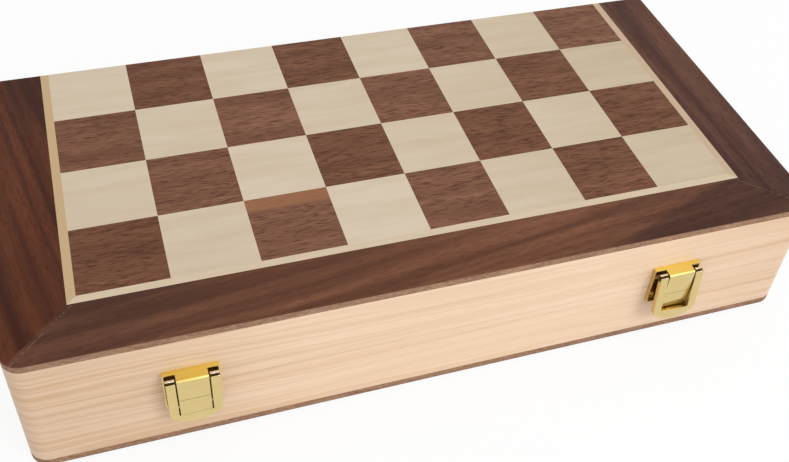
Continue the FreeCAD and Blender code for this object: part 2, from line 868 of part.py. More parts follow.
def make_bishop():
    """The bishop's mitre has one slanted cut."""
    slit = make_sawn("bishop_slit", "bishop", BISHOP_CUT, "Sizes.bishop_base_diameter")
    return make_cut("bishop", make_turning("bishop"), slit)


def make_king():
    """The king carries a plain cross."""
    stem = 2 * KING_CROSS[0][0]
    cross = make_sawn("king_cross", "king", KING_CROSS, f"{stem} * {base_radius('king')}")
    return make_fuse("king", [make_turning("king"), cross])


def make_knight():
    """The knight's head is sawn to a profile and stands on a turned base."""
    head = make_sawn("knight_head", "knight", KNIGHT_HEAD, "Sizes.knight_head_thickness")
    return make_fuse("knight", [make_turning("knight"), head])


def make_masters():
    return {
        "pawn": make_turning("pawn"),
        "rook": make_rook(),
        "knight": make_knight(),
        "bishop": make_bishop(),
        "queen": make_turning("queen"),
        "king": make_king(),
    }


# foam beds; the back rank lies along the front wall and the pawns along the hinges

COLUMN_PITCH = f"(2 * {CAVITY_HALF_LENGTH} / Sizes.bed_columns)"


def column_centre(column):
    return f"({column} + 0.5) * {COLUMN_PITCH} - {CAVITY_HALF_LENGTH}"


def rim(kind):
    """How far up the base its widest part goes."""
    return f"({PROFILES[kind][1][1]} * Sizes.{kind}_height)"


def lean(kind):
    """The angle at which a lying man rests on its base's rim and on its head."""
    if kind == "knight":
        crown, reach = "Sizes.knight_head_thickness / 2", "Sizes.knight_height"
    else:
        rim_height = PROFILES[kind][1][1]
        share, height = min(
            PROFILES[kind][2:], key=lambda point: (1 - point[0]) / (point[1] - rim_height)
        )
        crown, reach = f"{share} * {base_radius(kind)}", f"{height} * Sizes.{kind}_height"
    return f"atan(({base_radius(kind)} - {crown}) / ({reach} - {rim(kind)}))"


def upper_share(kind):
    """Half a man's greatest width above its base zone, as a share of the base radius."""
    outline = PROFILES[kind] + (KNIGHT_HEAD if kind == "knight" else ())
    return max(abs(x) for x, z in outline if z >= BASE_ZONE)


def base_setback(kind):
    """How far a leaning man's base centre lies from the end of its pocket."""
    return f"(Sizes.pocket_gap + {base_radius(kind)} * sin({lean(kind)}))"


def lay_man(original, kind, half, line, column):
    """A copy of a man on its side in its pocket, with its head towards the middle."""
    name = f"{half}_{kind}_{line}_{column}"
    copy = make_copy(name, original)
    turn = -1 if line == "front" else 1
    drop = 1 if half == "lower" else -1
    angle = f"90 deg + {drop} * {lean(kind)}"
    copy.Placement = Placement(Vector(), Rotation(Vector(turn, 0, 0), 90))
    bind(copy, Placement__Rotation__Angle=angle)
    seat = (
        f"({PANEL} + Sizes.foam_floor + Sizes.seat_gap + {base_radius(kind)} * cos({lean(kind)})"
        f" + {rim(kind)} * sin({lean(kind)}))"
    )
    end = f"({CAVITY_HALF_WIDTH} - Sizes.pocket_margin - {base_setback(kind)})"
    return place(copy, column_centre(column), f"{turn} * {end}", level(half, seat, "0"))


def pocket_boxes(kind, half, line, column):
    """The room cut for one man: a wide box for its base and a narrower one for the rest."""
    name = f"{half}_pocket_{line}_{column}"
    floor = f"({PANEL} + Sizes.foam_floor)"
    outer_end = f"({CAVITY_HALF_WIDTH} - Sizes.pocket_margin)"
    boxes = []
    zones = (
        ("base", 1, f"({base_setback(kind)} + {BASE_ZONE} * Sizes.{kind}_height)"),
        (
            "head",
            upper_share(kind),
            f"({base_setback(kind)} + Sizes.{kind}_height + Sizes.pocket_gap)",
        ),
    )
    for zone, share, length in zones:
        half_width = f"({share} * {base_radius(kind)} + Sizes.pocket_gap)"
        low_y = f"-{outer_end}" if line == "front" else f"({outer_end} - {length})"
        boxes.append(
            make_box(
                f"{name}_{zone}",
                f"2 * {half_width}",
                length,
                "Sizes.foam_thickness",
                f"{column_centre(column)} - {half_width}",
                low_y,
                level(half, floor, "Sizes.foam_thickness"),
            )
        )
    return boxes


def bed_places():
    for column in range(int(SIZES["bed_columns"])):
        yield BACK_RANK[column % len(BACK_RANK)], "front", column
        yield "pawn", "back", column


def make_foam(half):
    name = f"{half}_foam_bed"
    blank = make_box(
        f"{name}_blank",
        f"2 * ({CAVITY_HALF_LENGTH} - Sizes.foam_edge_gap)",
        f"2 * ({CAVITY_HALF_WIDTH} - Sizes.foam_edge_gap)",
        "Sizes.foam_thickness",
        f"-({CAVITY_HALF_LENGTH} - Sizes.foam_edge_gap)",
        f"-({CAVITY_HALF_WIDTH} - Sizes.foam_edge_gap)",
        level(half, PANEL, "Sizes.foam_thickness"),
    )
    boxes = []
    for kind, line, column in bed_places():
        boxes += pocket_boxes(kind, half, line, column)
    finish(make_cut(name, blank, make_fuse(f"{half}_pockets", boxes)), name)


def make_men(half, masters):
    men = {}
    for kind, line, column in bed_places():
        men.setdefault(kind, []).append(lay_man(masters[kind], kind, half, line, column))
    for kind, copies in men.items():
        name = f"{SHADES[half]}_{kind}" + ("s" if len(copies) > 1 else "")
        finish(make_group(name, copies), name)


def check_document():
    """Stops unless every object is sound and every sub-part is a valid, filled shape."""
    for item in doc.Objects:
        if "Invalid" in item.State or "Error" in item.State:
            raise RuntimeError(f"{item.Name} failed: {item.State}")
    for item in nodes:
        if item.Shape.isNull() or not item.Shape.isValid() or item.Shape.Volume <= 0:
            raise RuntimeError(f"{item.Label} has no valid shape")


outline_block = make_outline_block()
masters = make_masters()
for half in HALVES:
    make_core(half)
    make_squares(half)
    make_stringing(half)
    make_border(half)
    make_walls(half)
    make_foam(half)
    make_men(half, masters)
for side in SIDES:
    for half in HALVES:
        make_hinge_leaf(half, side)
    make_hinge_pin(side)
    make_latch_plate(side)
    make_latch_pin(side)
    make_latch_lever(side)
    make_latch_catch(side)

doc.recompute()
check_document()

os.makedirs("parts", exist_ok=True)
for item in nodes:
    item.Shape.exportStep(f"parts/{item.Label}.step")
print(f"{len(nodes)} parts written")
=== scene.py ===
"""A folding chess set: an inlaid box with brass latches, and chessmen bedded inside it."""

import json
import math

import bmesh
import bpy
from bpy.props import FloatProperty, FloatVectorProperty, IntProperty, PointerProperty
from bpy.types import Operator, Panel, PropertyGroup
from mathutils import Matrix, Vector

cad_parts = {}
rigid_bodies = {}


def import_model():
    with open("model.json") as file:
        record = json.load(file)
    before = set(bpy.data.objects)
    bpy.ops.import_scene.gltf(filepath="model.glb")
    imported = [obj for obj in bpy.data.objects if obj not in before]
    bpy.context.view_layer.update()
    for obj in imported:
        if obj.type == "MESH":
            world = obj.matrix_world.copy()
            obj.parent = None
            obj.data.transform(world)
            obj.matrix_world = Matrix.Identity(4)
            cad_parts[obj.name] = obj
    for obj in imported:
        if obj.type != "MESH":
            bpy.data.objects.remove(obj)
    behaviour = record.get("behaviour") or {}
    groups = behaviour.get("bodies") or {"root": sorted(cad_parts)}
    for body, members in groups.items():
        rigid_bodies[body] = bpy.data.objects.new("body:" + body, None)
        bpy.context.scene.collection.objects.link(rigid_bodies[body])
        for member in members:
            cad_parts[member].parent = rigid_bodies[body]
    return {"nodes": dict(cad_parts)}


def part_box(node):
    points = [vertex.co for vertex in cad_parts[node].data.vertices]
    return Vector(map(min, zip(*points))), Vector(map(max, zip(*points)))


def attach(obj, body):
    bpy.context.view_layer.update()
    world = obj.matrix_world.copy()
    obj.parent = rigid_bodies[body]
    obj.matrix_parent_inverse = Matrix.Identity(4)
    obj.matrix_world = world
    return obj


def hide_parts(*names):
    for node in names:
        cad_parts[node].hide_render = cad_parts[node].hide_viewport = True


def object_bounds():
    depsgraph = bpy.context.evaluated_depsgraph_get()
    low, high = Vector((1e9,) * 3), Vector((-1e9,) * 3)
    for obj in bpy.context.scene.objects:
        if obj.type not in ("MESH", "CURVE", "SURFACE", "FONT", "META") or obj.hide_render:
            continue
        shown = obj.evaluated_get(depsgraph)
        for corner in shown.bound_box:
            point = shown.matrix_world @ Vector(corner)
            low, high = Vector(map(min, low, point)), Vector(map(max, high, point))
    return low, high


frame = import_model()

bl_info = {
    "name": "Folding chess set",
    "version": (1, 0, 0),
    "blender": (4, 5, 0),
    "location": "View3D > Sidebar > Chess set",
    "description": "Dresses a folding chess box with its woods, brass, beds and chessmen",
    "category": "Object",
}

MM = 0.001
HALVES = {"lower": "light", "upper": "dark"}
SIDES = ("left", "right")
FITTED_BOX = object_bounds()
BOARD_LOW, BOARD_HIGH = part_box("upper_dark_squares")
SQUARE = (BOARD_HIGH.x - BOARD_LOW.x) / 8 / MM
SEAM = (FITTED_BOX[0].z + FITTED_BOX[1].z) / 2
CORNER_RADIUS = 9.0
# on the mitres between the border strips, the distances from the middle planes add up to this
CORNER_SUM = (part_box("upper_front_border")[1].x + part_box("upper_front_border")[0].y) / MM
# the middle of the right latch's pin, and the half width inside its plate's flanges
LATCH_SPOT = (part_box("right_latch_pin")[0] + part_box("right_latch_pin")[1]) / 2 / MM
LATCH_HALF_INSIDE = 11.7


def shade(red, green, blue):
    """A colour given in screen values from 0 to 255, as light values."""
    values = [channel / 255 for channel in (red, green, blue)]
    return tuple(
        value / 12.92 if value <= 0.04045 else ((value + 0.055) / 1.055) ** 2.4 for value in values
    )


# shader maths


class Tone:
    """A value, colour or vector of a finish that plain arithmetic can work on."""

    def __init__(self, finish, socket):
        self.finish = finish
        self.socket = socket

    def worked(self, operation, *values):
        inputs = dict(enumerate(values))
        return self.finish.node("ShaderNodeMath", {"operation": operation}, inputs)

    def __add__(self, other):
        return self.worked("ADD", self, other)

    __radd__ = __add__

    def __sub__(self, other):
        return self.worked("SUBTRACT", self, other)

    def __rsub__(self, other):
        return self.worked("SUBTRACT", other, self)

    def __mul__(self, other):
        return self.worked("MULTIPLY", self, other)

    __rmul__ = __mul__

    def __truediv__(self, other):
        return self.worked("DIVIDE", self, other)

    def __rtruediv__(self, other):
        return self.worked("DIVIDE", other, self)

    def __gt__(self, other):
        return self.worked("GREATER_THAN", self, other)

    def __lt__(self, other):
        return self.worked("LESS_THAN", self, other)

    def __abs__(self):
        return self.worked("ABSOLUTE", self)

    def __floor__(self):
        return self.worked("FLOOR", self)


class Finish:
    """A material, with short ways to make the patterns that woods and metals share."""

    def __init__(self, name):
        self.material = bpy.data.materials.new(name)
        self.material.use_nodes = True
        self.material.node_tree.nodes.clear()

    def node(self, kind, settings=None, inputs=None, output=0):
        """Adds a node: first its settings, then the values or links of its sockets."""
        made = self.material.node_tree.nodes.new(kind)
        for name, value in (settings or {}).items():
            setattr(made, name, value)
        for name, value in (inputs or {}).items():
            if isinstance(value, Tone):
                self.material.node_tree.links.new(value.socket, made.inputs[name])
            elif isinstance(value, tuple) and len(made.inputs[name].default_value) == 4:
                made.inputs[name].default_value = (*value, 1.0)
            else:
                made.inputs[name].default_value = value
        return Tone(self, made.outputs[output]) if made.outputs else None

    def place(self, turn=0.0, side="Object"):
        """The spot on the piece in millimetres, turned about the upright axis."""
        spot = self.node("ShaderNodeTexCoord", output=side)
        inputs = {"Vector": spot, "Rotation": (0.0, 0.0, turn), "Scale": (1 / MM,) * 3}
        return self.node("ShaderNodeMapping", {"vector_type": "POINT"}, inputs)

    def axis(self, spot, name):
        return self.node("ShaderNodeSeparateXYZ", inputs={0: spot}, output=name)

    def moved(self, spot, x=0.0, y=0.0, z=0.0):
        shift = self.node("ShaderNodeCombineXYZ", inputs={"X": x, "Y": y, "Z": z})
        return self.node("ShaderNodeVectorMath", {"operation": "ADD"}, {0: spot, 1: shift})

    def streaks(self, spot, sizes, seed=0.0, detail=2.0, roughness=0.5):
        """Noise drawn out to patches of the given sizes in millimetres."""
        inverse = tuple(1 / length for length in sizes)
        drawn = self.node("ShaderNodeMapping", inputs={"Vector": spot, "Scale": inverse})
        inputs = {"Vector": drawn, "W": seed, "Scale": 1.0, "Detail": detail, "Roughness": roughness}
        return self.node("ShaderNodeTexNoise", {"noise_dimensions": "4D"}, inputs)

    def spread(self, value, low, high, start=0.0, end=1.0):
        """Takes the stretch from low to high to the one from start to end, and no further."""
        inputs = {
            "Value": value, "From Min": low, "From Max": high, "To Min": start, "To Max": end,
        }
        return self.node("ShaderNodeMapRange", {"clamp": True}, inputs)

    def mixed(self, factor, first, second, blend="MIX"):
        settings = {"data_type": "RGBA", "blend_type": blend}
        return self.node("ShaderNodeMix", settings, {0: factor, 6: first, 7: second}, 2)

    def bump(self, height, strength, depth=0.1):
        inputs = {"Height": height, "Strength": strength, "Distance": depth * MM}
        return self.node("ShaderNodeBump", inputs=inputs)

    def done(self, **sockets):
        """Closes the material with a surface that takes the given sockets."""
        inputs = {name.replace("_", " "): value for name, value in sockets.items()}
        surface = self.node("ShaderNodeBsdfPrincipled", inputs=inputs)
        self.node("ShaderNodeOutputMaterial", inputs={"Surface": surface})
        return self.material


# woods


def walnut(finish, spot, seed, tones, pored):
    """Walnut's colour and fibre: soft bands, a wandering fibre and short dark pores."""
    dark, middle, light = tones
    wander = finish.streaks(spot, (8, 4, 4), seed + 5.0, detail=1.0)
    spot = finish.moved(spot, y=(wander - 0.5) * 2.8)
    bands = finish.spread(finish.streaks(spot, (80, 7, 7), seed, 2.0), 0.34, 0.66)
    fibre = finish.spread(finish.streaks(spot, (14, 1.0, 1.0), seed + 1.0, 2.0, 0.6), 0.36, 0.64)
    pores = finish.spread(finish.streaks(spot, (5.5, 0.65, 0.65), seed + 2.0, 2.0), 0.5, 0.64)
    colour = finish.mixed(bands, middle, light)
    colour = finish.mixed(fibre * pored * 0.5, colour, dark)
    colour = finish.mixed(pores * pored, colour, dark)
    return colour, fibre * 0.5 + pores


# puts the board's one reddish band on the third square of its front row
BOARD_SEED = 4719.0


def chequer_cell(finish, spot):
    """A steady number for each square of the board, and one more for a second use."""
    origin = (BOARD_LOW.x / MM, BOARD_LOW.y / MM)
    column = math.floor((finish.axis(spot, "X") - origin[0]) / SQUARE)
    row = math.floor((finish.axis(spot, "Y") - origin[1]) / SQUARE)
    half = finish.axis(spot, "Z") > SEAM / MM
    layer = half + BOARD_SEED
    corner = finish.node("ShaderNodeCombineXYZ", inputs={"X": column, "Y": row, "Z": layer})
    noise = {"noise_dimensions": "3D"}
    first = finish.node("ShaderNodeTexWhiteNoise", noise, {"Vector": corner})
    return first, (first * 37.0) - math.floor(first * 37.0)


def square_tint(finish, number, low, high):
    """A tint between two limits for one square, to multiply its colour by."""
    channels = {
        index: number * (end - start) + start for index, (start, end) in enumerate(zip(low, high))
    }
    return finish.node("ShaderNodeCombineColor", inputs=channels)


def dark_square_finish(woods):
    finish = Finish("dark_square_veneer")
    spot = finish.place()
    piece, second = chequer_cell(finish, spot)
    tones = (woods.dark_square_pore, woods.dark_square, woods.dark_square_light)
    colour, grain = walnut(finish, spot, piece * 90, [tuple(tone) for tone in tones], 0.75)
    row = (finish.axis(spot, "Y") - BOARD_LOW.y / MM) / SQUARE
    sapwood = finish.spread(row - math.floor(row) + (grain - 0.5) * 0.04, 0.77, 0.82)
    colour = finish.mixed(sapwood * (second > 0.955) * 0.75, colour, tuple(woods.dark_square_band))
    tint = square_tint(finish, second, (0.88, 0.84, 0.79), (1.12, 1.17, 1.22))
    colour = finish.mixed(1.0, colour, tint, "MULTIPLY")
    return finish.done(
        Base_Color=colour,
        Roughness=finish.spread(grain, 0.0, 1.2, 0.46, 0.64),
        Specular_IOR_Level=0.12,
        Normal=finish.bump(1 - grain, 0.25),
    )


def light_square_finish(woods):
    finish = Finish("light_square_veneer")
    spot = finish.place()
    piece, second = chequer_cell(finish, spot)
    across = finish.axis(spot, "X")
    wander = finish.streaks(spot, (30, 9, 9), piece * 70, detail=1.0)
    spot = finish.moved(spot, y=(wander - 0.5) * 7)
    figure = finish.spread(finish.streaks(spot, (60, 7, 7), piece * 70, 2.0), 0.36, 0.7)
    fibre = finish.spread(finish.streaks(spot, (14, 1.2, 1.2), piece * 70, 2.0), 0.36, 0.7)
    flecks = finish.spread(finish.streaks(spot, (4, 0.9, 0.9), piece * 50 + 9, 1.0), 0.68, 0.76)
    light, low = tuple(woods.light_square), tuple(woods.light_square_grain)
    colour = finish.mixed(figure * 0.34 + fibre * 0.08, light, low)
    colour = finish.mixed(flecks * 0.3, colour, low)
    tint = square_tint(finish, second, (0.955, 0.95, 0.93), (1.0, 1.0, 1.01))
    colour = finish.mixed(1.0, colour, tint, "MULTIPLY")
    # darker and yellower towards the board's right end
    rightward_darkening = finish.spread(across, 30, 150)
    colour = finish.mixed(rightward_darkening, colour, (0.89, 0.88, 0.82), "MULTIPLY")
    return finish.done(
        Base_Color=colour, Roughness=0.5, Specular_IOR_Level=0.25, Normal=finish.bump(fibre, 0.1)
    )


def border_finish(woods, name, turn, seed, tint, streaked):
    """A walnut strip whose grain runs along X once it is turned, with broad dark streaks."""
    finish = Finish(f"walnut_{name}")
    tones = [
        tuple(channel * part for channel, part in zip(tone, tint))
        for tone in (woods.walnut_dark, woods.walnut, woods.walnut_light)
    ]
    spot = finish.place(turn)
    colour, grain = walnut(finish, spot, seed, tones, 0.35)
    figure = finish.streaks(spot, (190, 26, 26), seed + 3.0, 1.0)
    streaks = finish.spread(finish.streaks(
        finish.moved(spot, y=figure * 22), (230, 7, 7), seed + 7.0, 1.5), 0.45, 0.62)
    colour = finish.mixed(streaks * streaked, colour, tones[0])
    square = finish.place()
    if name == "front_border":
        colour = finish.mixed(
            heartwood(finish, square, figure), colour, tuple(woods.heartwood), "MULTIPLY")
    if name == "right_border":
        front = finish.spread(finish.axis(square, "Y"), -70, 20, 0.75, 0.0)
        colour = finish.mixed(front, colour, tuple(woods.heartwood), "MULTIPLY")
    away = abs(CORNER_SUM - abs(finish.axis(square, "X")) - finish.axis(square, "Y"))
    dots = finish.streaks(square, (1.5, 1.5, 1.5), seed, 1.0) > 0.5
    colour = finish.mixed((away < 0.5) * dots * 0.17, colour, tuple(woods.edge))
    rim = finish.axis(square, "Z")
    side = (abs(rim - SEAM / MM) < SEAM / MM - 0.3) * 0.8
    colour = finish.mixed(side, colour, tuple(woods.edge_dark))
    return finish.done(
        Base_Color=colour,
        Roughness=finish.spread(grain, 0.0, 1.2, 0.42, 0.6),
        Specular_IOR_Level=0.12,
        Normal=finish.bump(1 - grain, 0.2),
    )


def heartwood(finish, spot, figure):
    """How dark the front strip is: more towards its ends, most in a wedge at the right one."""
    across = finish.axis(spot, "X")
    inwards = finish.axis(spot, "Y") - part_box("upper_front_border")[0].y / MM
    wedge = finish.spread((across - 78) * 0.36 - inwards + (figure - 0.5) * 12, -1.5, 2.5)
    ends = finish.spread(across * -1, 85, 135) * 0.55 + finish.spread(across, 70, 105) * 0.25
    return wedge * 0.65 + ends


def stringing_finish(woods):
    finish = Finish("stringing")
    spot = finish.place()
    fibre = finish.streaks(spot, (18, 1.2, 18), 4.0)
    across = finish.axis(spot, "X")
    ends = finish.mixed(across > 0.0, tuple(woods.stringing_left), tuple(woods.stringing_right))
    before = BOARD_LOW.y / MM - finish.axis(spot, "Y")
    beside = abs(across) - BOARD_HIGH.x / MM > before
    colour = finish.mixed(beside, tuple(woods.stringing_front), ends)
    colour = finish.mixed(
        finish.spread(fibre, 0.35, 0.7) * 0.25, colour, tuple(woods.light_square_grain))
    return finish.done(Base_Color=colour, Roughness=0.5, Specular_IOR_Level=0.3)


def wall_finish(woods):
    """Pale wood whose growth lines run round the box at a steady height."""
    finish = Finish("pale_wall")
    spot = finish.place()
    drift = finish.streaks(spot, (150, 150, 12), 2.0, 1.0)
    waver = finish.streaks(spot, (16, 16, 3), 5.0, 1.0)
    level = finish.moved(spot, z=(drift - 0.5) * 16 + (waver - 0.5) * 1.4)
    lines = finish.spread(finish.streaks(level, (260, 260, 1.5), 7.0, 2.0), 0.42, 0.66)
    bands = finish.spread(finish.streaks(level, (300, 300, 7), 3.0, 1.0), 0.35, 0.65)
    fibre = finish.spread(finish.streaks(spot, (9, 9, 0.4), 1.0, 2.0), 0.35, 0.7)
    light, line = tuple(woods.wall), tuple(woods.wall_grain)
    ends = finish.spread(abs(finish.axis(spot, "X") - 22), 83, 193)
    colour = finish.mixed(lines * (ends * 0.4 + 0.5) + bands * 0.2, light, line)
    colour = finish.mixed(fibre * 0.14, colour, line)
    colour = finish.mixed(ends, colour, tuple(woods.wall_ends), "MULTIPLY")
    return finish.done(
        Base_Color=colour,
        Roughness=0.5,
        Specular_IOR_Level=0.3,
        Normal=finish.bump(lines * 0.6 + fibre * 0.4, 0.12),
    )


def core_finish(woods):
    """The board's stained edge, with the specks of the plies under it."""
    finish = Finish("board_edge")
    spot = finish.place()
    specks = finish.spread(finish.streaks(spot, (2.2, 2.2, 1.1), 6.0, 3.0, 0.7), 0.4, 0.66)
    patches = finish.spread(finish.streaks(spot, (14, 14, 3), 8.0, 2.0), 0.35, 0.65)
    dark, light = tuple(woods.edge_dark), tuple(woods.edge)
    colour = finish.mixed(specks * 0.6 + patches * 0.3, dark, light)
    return finish.done(
        Base_Color=colour, Roughness=0.65, Specular_IOR_Level=0.25, Normal=finish.bump(specks, 0.2)
    )


# metal and soft finishes


class Brass(Finish):
    """Polished brass plate, on which each part may paint highlights, reflections and shade before it
    is closed.
    """

    def __init__(self, name, metal):
        super().__init__(name)
        self.metal = metal
        self.spot = self.place()
        self.smear = self.spread(self.streaks(self.spot, (6, 6, 6), 3.0, 3.0, 0.6), 0.3, 0.75)
        self.colour = self.mixed(self.smear * 0.35, tuple(metal.brass), tuple(metal.brass_deep))

    def upward(self):
        facing = self.node("ShaderNodeTexCoord", output="Normal")
        return self.spread(self.axis(facing, "Z"), 0.55, 0.9)

    def paint_light_or_shade(self, where, tone):
        # paints light or shade into the colour where the mask is set
        self.colour = self.mixed(where, self.colour, tuple(tone))

    def closed(self, dull=None):
        dull = self.metal.roughness if dull is None else dull
        waves = self.streaks(self.spot, (5, 5, 5), 5.0, 1.0)
        return self.done(
            Base_Color=self.colour,
            Metallic=1.0,
            Roughness=self.spread(self.smear, 0.0, 1.0, dull, dull + 0.08),
            Normal=self.bump(waves, 0.12, 0.4),
        )


def plain_brass(name, metal):
    return Brass(name, metal).closed()


def fold_brass(metal):
    """Duller brass, for folded edges that are seen only through the lever's window."""
    return Brass("fold_brass", metal).closed(0.5)


def hood_brass(metal):
    """Brass with a painted reflection of the wood's light on its upward ledge, and painted shade
    inside the hood.
    """
    finish = Brass("hood_brass", metal)
    upward = finish.upward()
    # painted reflection: faces turned upwards take a brighter, yellower tone for the light bounced off
    # the wood above
    finish.paint_light_or_shade(upward * 0.85, metal.brass_ledge)
    aside = abs(abs(finish.axis(finish.spot, "X")) - LATCH_SPOT.x) < LATCH_HALF_INSIDE
    deep = finish.spread(finish.axis(finish.spot, "Y"), LATCH_SPOT.y + 1.9, LATCH_SPOT.y + 3.2)
    # painted shade: the hood's inside, behind its front and away from the ledge, is darkened
    finish.paint_light_or_shade(aside * deep * (1 - upward) * 0.85, metal.brass_inside)
    level = finish.axis(finish.node("ShaderNodeTexCoord", output="Normal"), "Z")
    bend = finish.spread(level, 0.1, 0.4) * finish.spread(level, 0.75, 0.97, 1.0, 0.0)
    return finish.closed(bend * 0.35 + metal.roughness)


def lever_brass(metal):
    """Brass with painted shade on the open lever's lip and in the eyes' slits, and a painted highlight
    on the eyes' tops.
    """
    finish = Brass("lever_brass", metal)
    level = finish.axis(finish.spot, "Z")
    opened = finish.axis(finish.spot, "X") > 0.0
    # painted shade: the open lever's upward faces below the parting line, on its lip, take the dark
    # tone they reflect from the shaded catch
    finish.paint_light_or_shade(finish.upward() * (level < SEAM / MM) * opened * 0.4, metal.brass_inside)
    out, up = finish.axis(finish.spot, "Y") - LATCH_SPOT.y, level - LATCH_SPOT.z
    away = out * out + up * up
    # painted highlight on the tops of the rolled eyes
    finish.paint_light_or_shade((away < 2.0 ** 2) * finish.spread(up, 0.3, 0.9) * 0.9, metal.brass_bright)
    # painted shade in the eyes' slits
    inside = away < 1.48 ** 2
    finish.paint_light_or_shade(inside, metal.brass_inside)
    return finish.closed(inside * 0.5 + metal.roughness)


def bed_finish(beds):
    finish = Finish("flocked_bed")
    spot = finish.place()
    nap = finish.streaks(spot, (0.8, 0.8, 0.8), 2.0, 3.0, 0.7)
    patches = finish.spread(finish.streaks(spot, (22, 22, 22), 5.0, 2.0), 0.35, 0.7)
    colour = finish.mixed(patches * 0.5 + finish.spread(nap, 0.3, 0.7) * 0.4,
                          tuple(beds.flock_dark), tuple(beds.flock))
    return finish.done(
        Base_Color=colour, Roughness=0.95, Sheen_Weight=0.15, Normal=finish.bump(nap, 0.6, 0.4)
    )


def felt_finish(settings):
    finish = Finish("base_felt")
    spot = finish.place()
    nap = finish.streaks(spot, (0.5, 0.5, 0.5), 7.0, 3.0, 0.7)
    dark, light = tuple(settings.felt_dark), tuple(settings.felt)
    colour = finish.mixed(finish.spread(nap, 0.3, 0.7), dark, light)
    return finish.done(
        Base_Color=colour, Roughness=0.95, Sheen_Weight=0.4, Normal=finish.bump(nap, 0.5, 0.2)
    )


def man_finish(name, colour_light, colour_dark):
    finish = Finish(name)
    spot = finish.place()
    wander = finish.streaks(spot, (7, 60, 7), 2.0, 1.0)
    spot = finish.moved(spot, x=(wander - 0.5) * 5)
    rings = finish.spread(finish.streaks(spot, (1.6, 90, 1.6), 4.0, 2.0), 0.38, 0.66)
    fibre = finish.spread(finish.streaks(spot, (0.3, 7, 0.3), 1.0, 2.0), 0.35, 0.7)
    colour = finish.mixed(rings * 0.55 + fibre * 0.25, tuple(colour_light), tuple(colour_dark))
    return finish.done(Base_Color=colour, Roughness=0.32, Normal=finish.bump(fibre, 0.06))


# pieces made from the frame's own solids


def dress(node, material):
    """Gives a solid that stays in view its finish."""
    slots = frame["nodes"][node].data.materials
    slots.clear()
    slots.append(material)


def new_piece(name, shape, material):
    """Turns a mesh under construction into a piece of the set."""
    mesh = bpy.data.meshes.new(name)
    shape.to_mesh(mesh)
    shape.free()
    mesh.materials.append(material)
    piece = bpy.data.objects.new(name, mesh)
    bpy.context.scene.collection.objects.link(piece)
    return piece


# a face with less area than this for each metre round it is part of a curve
NARROW = 0.8 * MM


def soften(node, name, body, material, passes):
    """Replaces a solid by a copy of it, rounding the edges that each pass chooses."""
    shape = bmesh.new()
    shape.from_mesh(frame["nodes"][node].data)
    bmesh.ops.remove_doubles(shape, verts=shape.verts[:], dist=0.002 * MM)
    bmesh.ops.dissolve_limit(
        shape, angle_limit=math.radians(0.5), verts=shape.verts[:], edges=shape.edges[:]
    )
    for width, chosen in passes:
        edges = [
            edge for edge in shape.edges
            if len(edge.link_faces) == 2
            and edge.calc_face_angle() > math.radians(40)
            and chosen(*[vert.co / MM for vert in edge.verts])
        ]
        bmesh.ops.bevel(
            shape, geom=edges, offset=width * MM, segments=3, profile=0.5, affect="EDGES",
            clamp_overlap=True,
        )
    for face in shape.faces:
        face.smooth = face.calc_area() < NARROW * face.calc_perimeter()
    piece = new_piece(name, shape, material)
    piece.data.set_sharp_from_angle(angle=math.radians(30))
    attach(piece, body)
    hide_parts(node)
    return piece


# rows of like things


def row_tree():
    """A tree that sets copies of one thing out in a straight row."""
    tree = bpy.data.node_groups.new("row_of_copies", "GeometryNodeTree")
    sockets = (
        ("Geometry", "NodeSocketGeometry"), ("Thing", "NodeSocketObject"),
        ("Count", "NodeSocketInt"), ("Start", "NodeSocketVector"), ("Step", "NodeSocketVector"),
        ("Turn", "NodeSocketRotation"), ("Finish", "NodeSocketMaterial"),
    )
    for name, kind in sockets:
        tree.interface.new_socket(name, in_out="INPUT", socket_type=kind)
    tree.interface.new_socket("Geometry", in_out="OUTPUT", socket_type="NodeSocketGeometry")
    nodes = tree.nodes
    asked, given = nodes.new("NodeGroupInput"), nodes.new("NodeGroupOutput")
    line = nodes.new("GeometryNodeMeshLine")
    thing = nodes.new("GeometryNodeObjectInfo")
    copies = nodes.new("GeometryNodeInstanceOnPoints")
    solid = nodes.new("GeometryNodeRealizeInstances")
    coated = nodes.new("GeometryNodeSetMaterial")
    line.mode = "OFFSET"
    thing.transform_space = "ORIGINAL"
    for start, end in (
        (asked.outputs["Count"], line.inputs["Count"]),
        (asked.outputs["Start"], line.inputs["Start Location"]),
        (asked.outputs["Step"], line.inputs["Offset"]),
        (asked.outputs["Thing"], thing.inputs["Object"]),
        (line.outputs["Mesh"], copies.inputs["Points"]),
        (thing.outputs["Geometry"], copies.inputs["Instance"]),
        (asked.outputs["Turn"], copies.inputs["Rotation"]),
        (copies.outputs["Instances"], solid.inputs["Geometry"]),
        (solid.outputs["Geometry"], coated.inputs["Geometry"]),
        (asked.outputs["Finish"], coated.inputs["Material"]),
        (coated.outputs["Geometry"], given.inputs["Geometry"]),
    ):
        tree.links.new(start, end)
    return tree


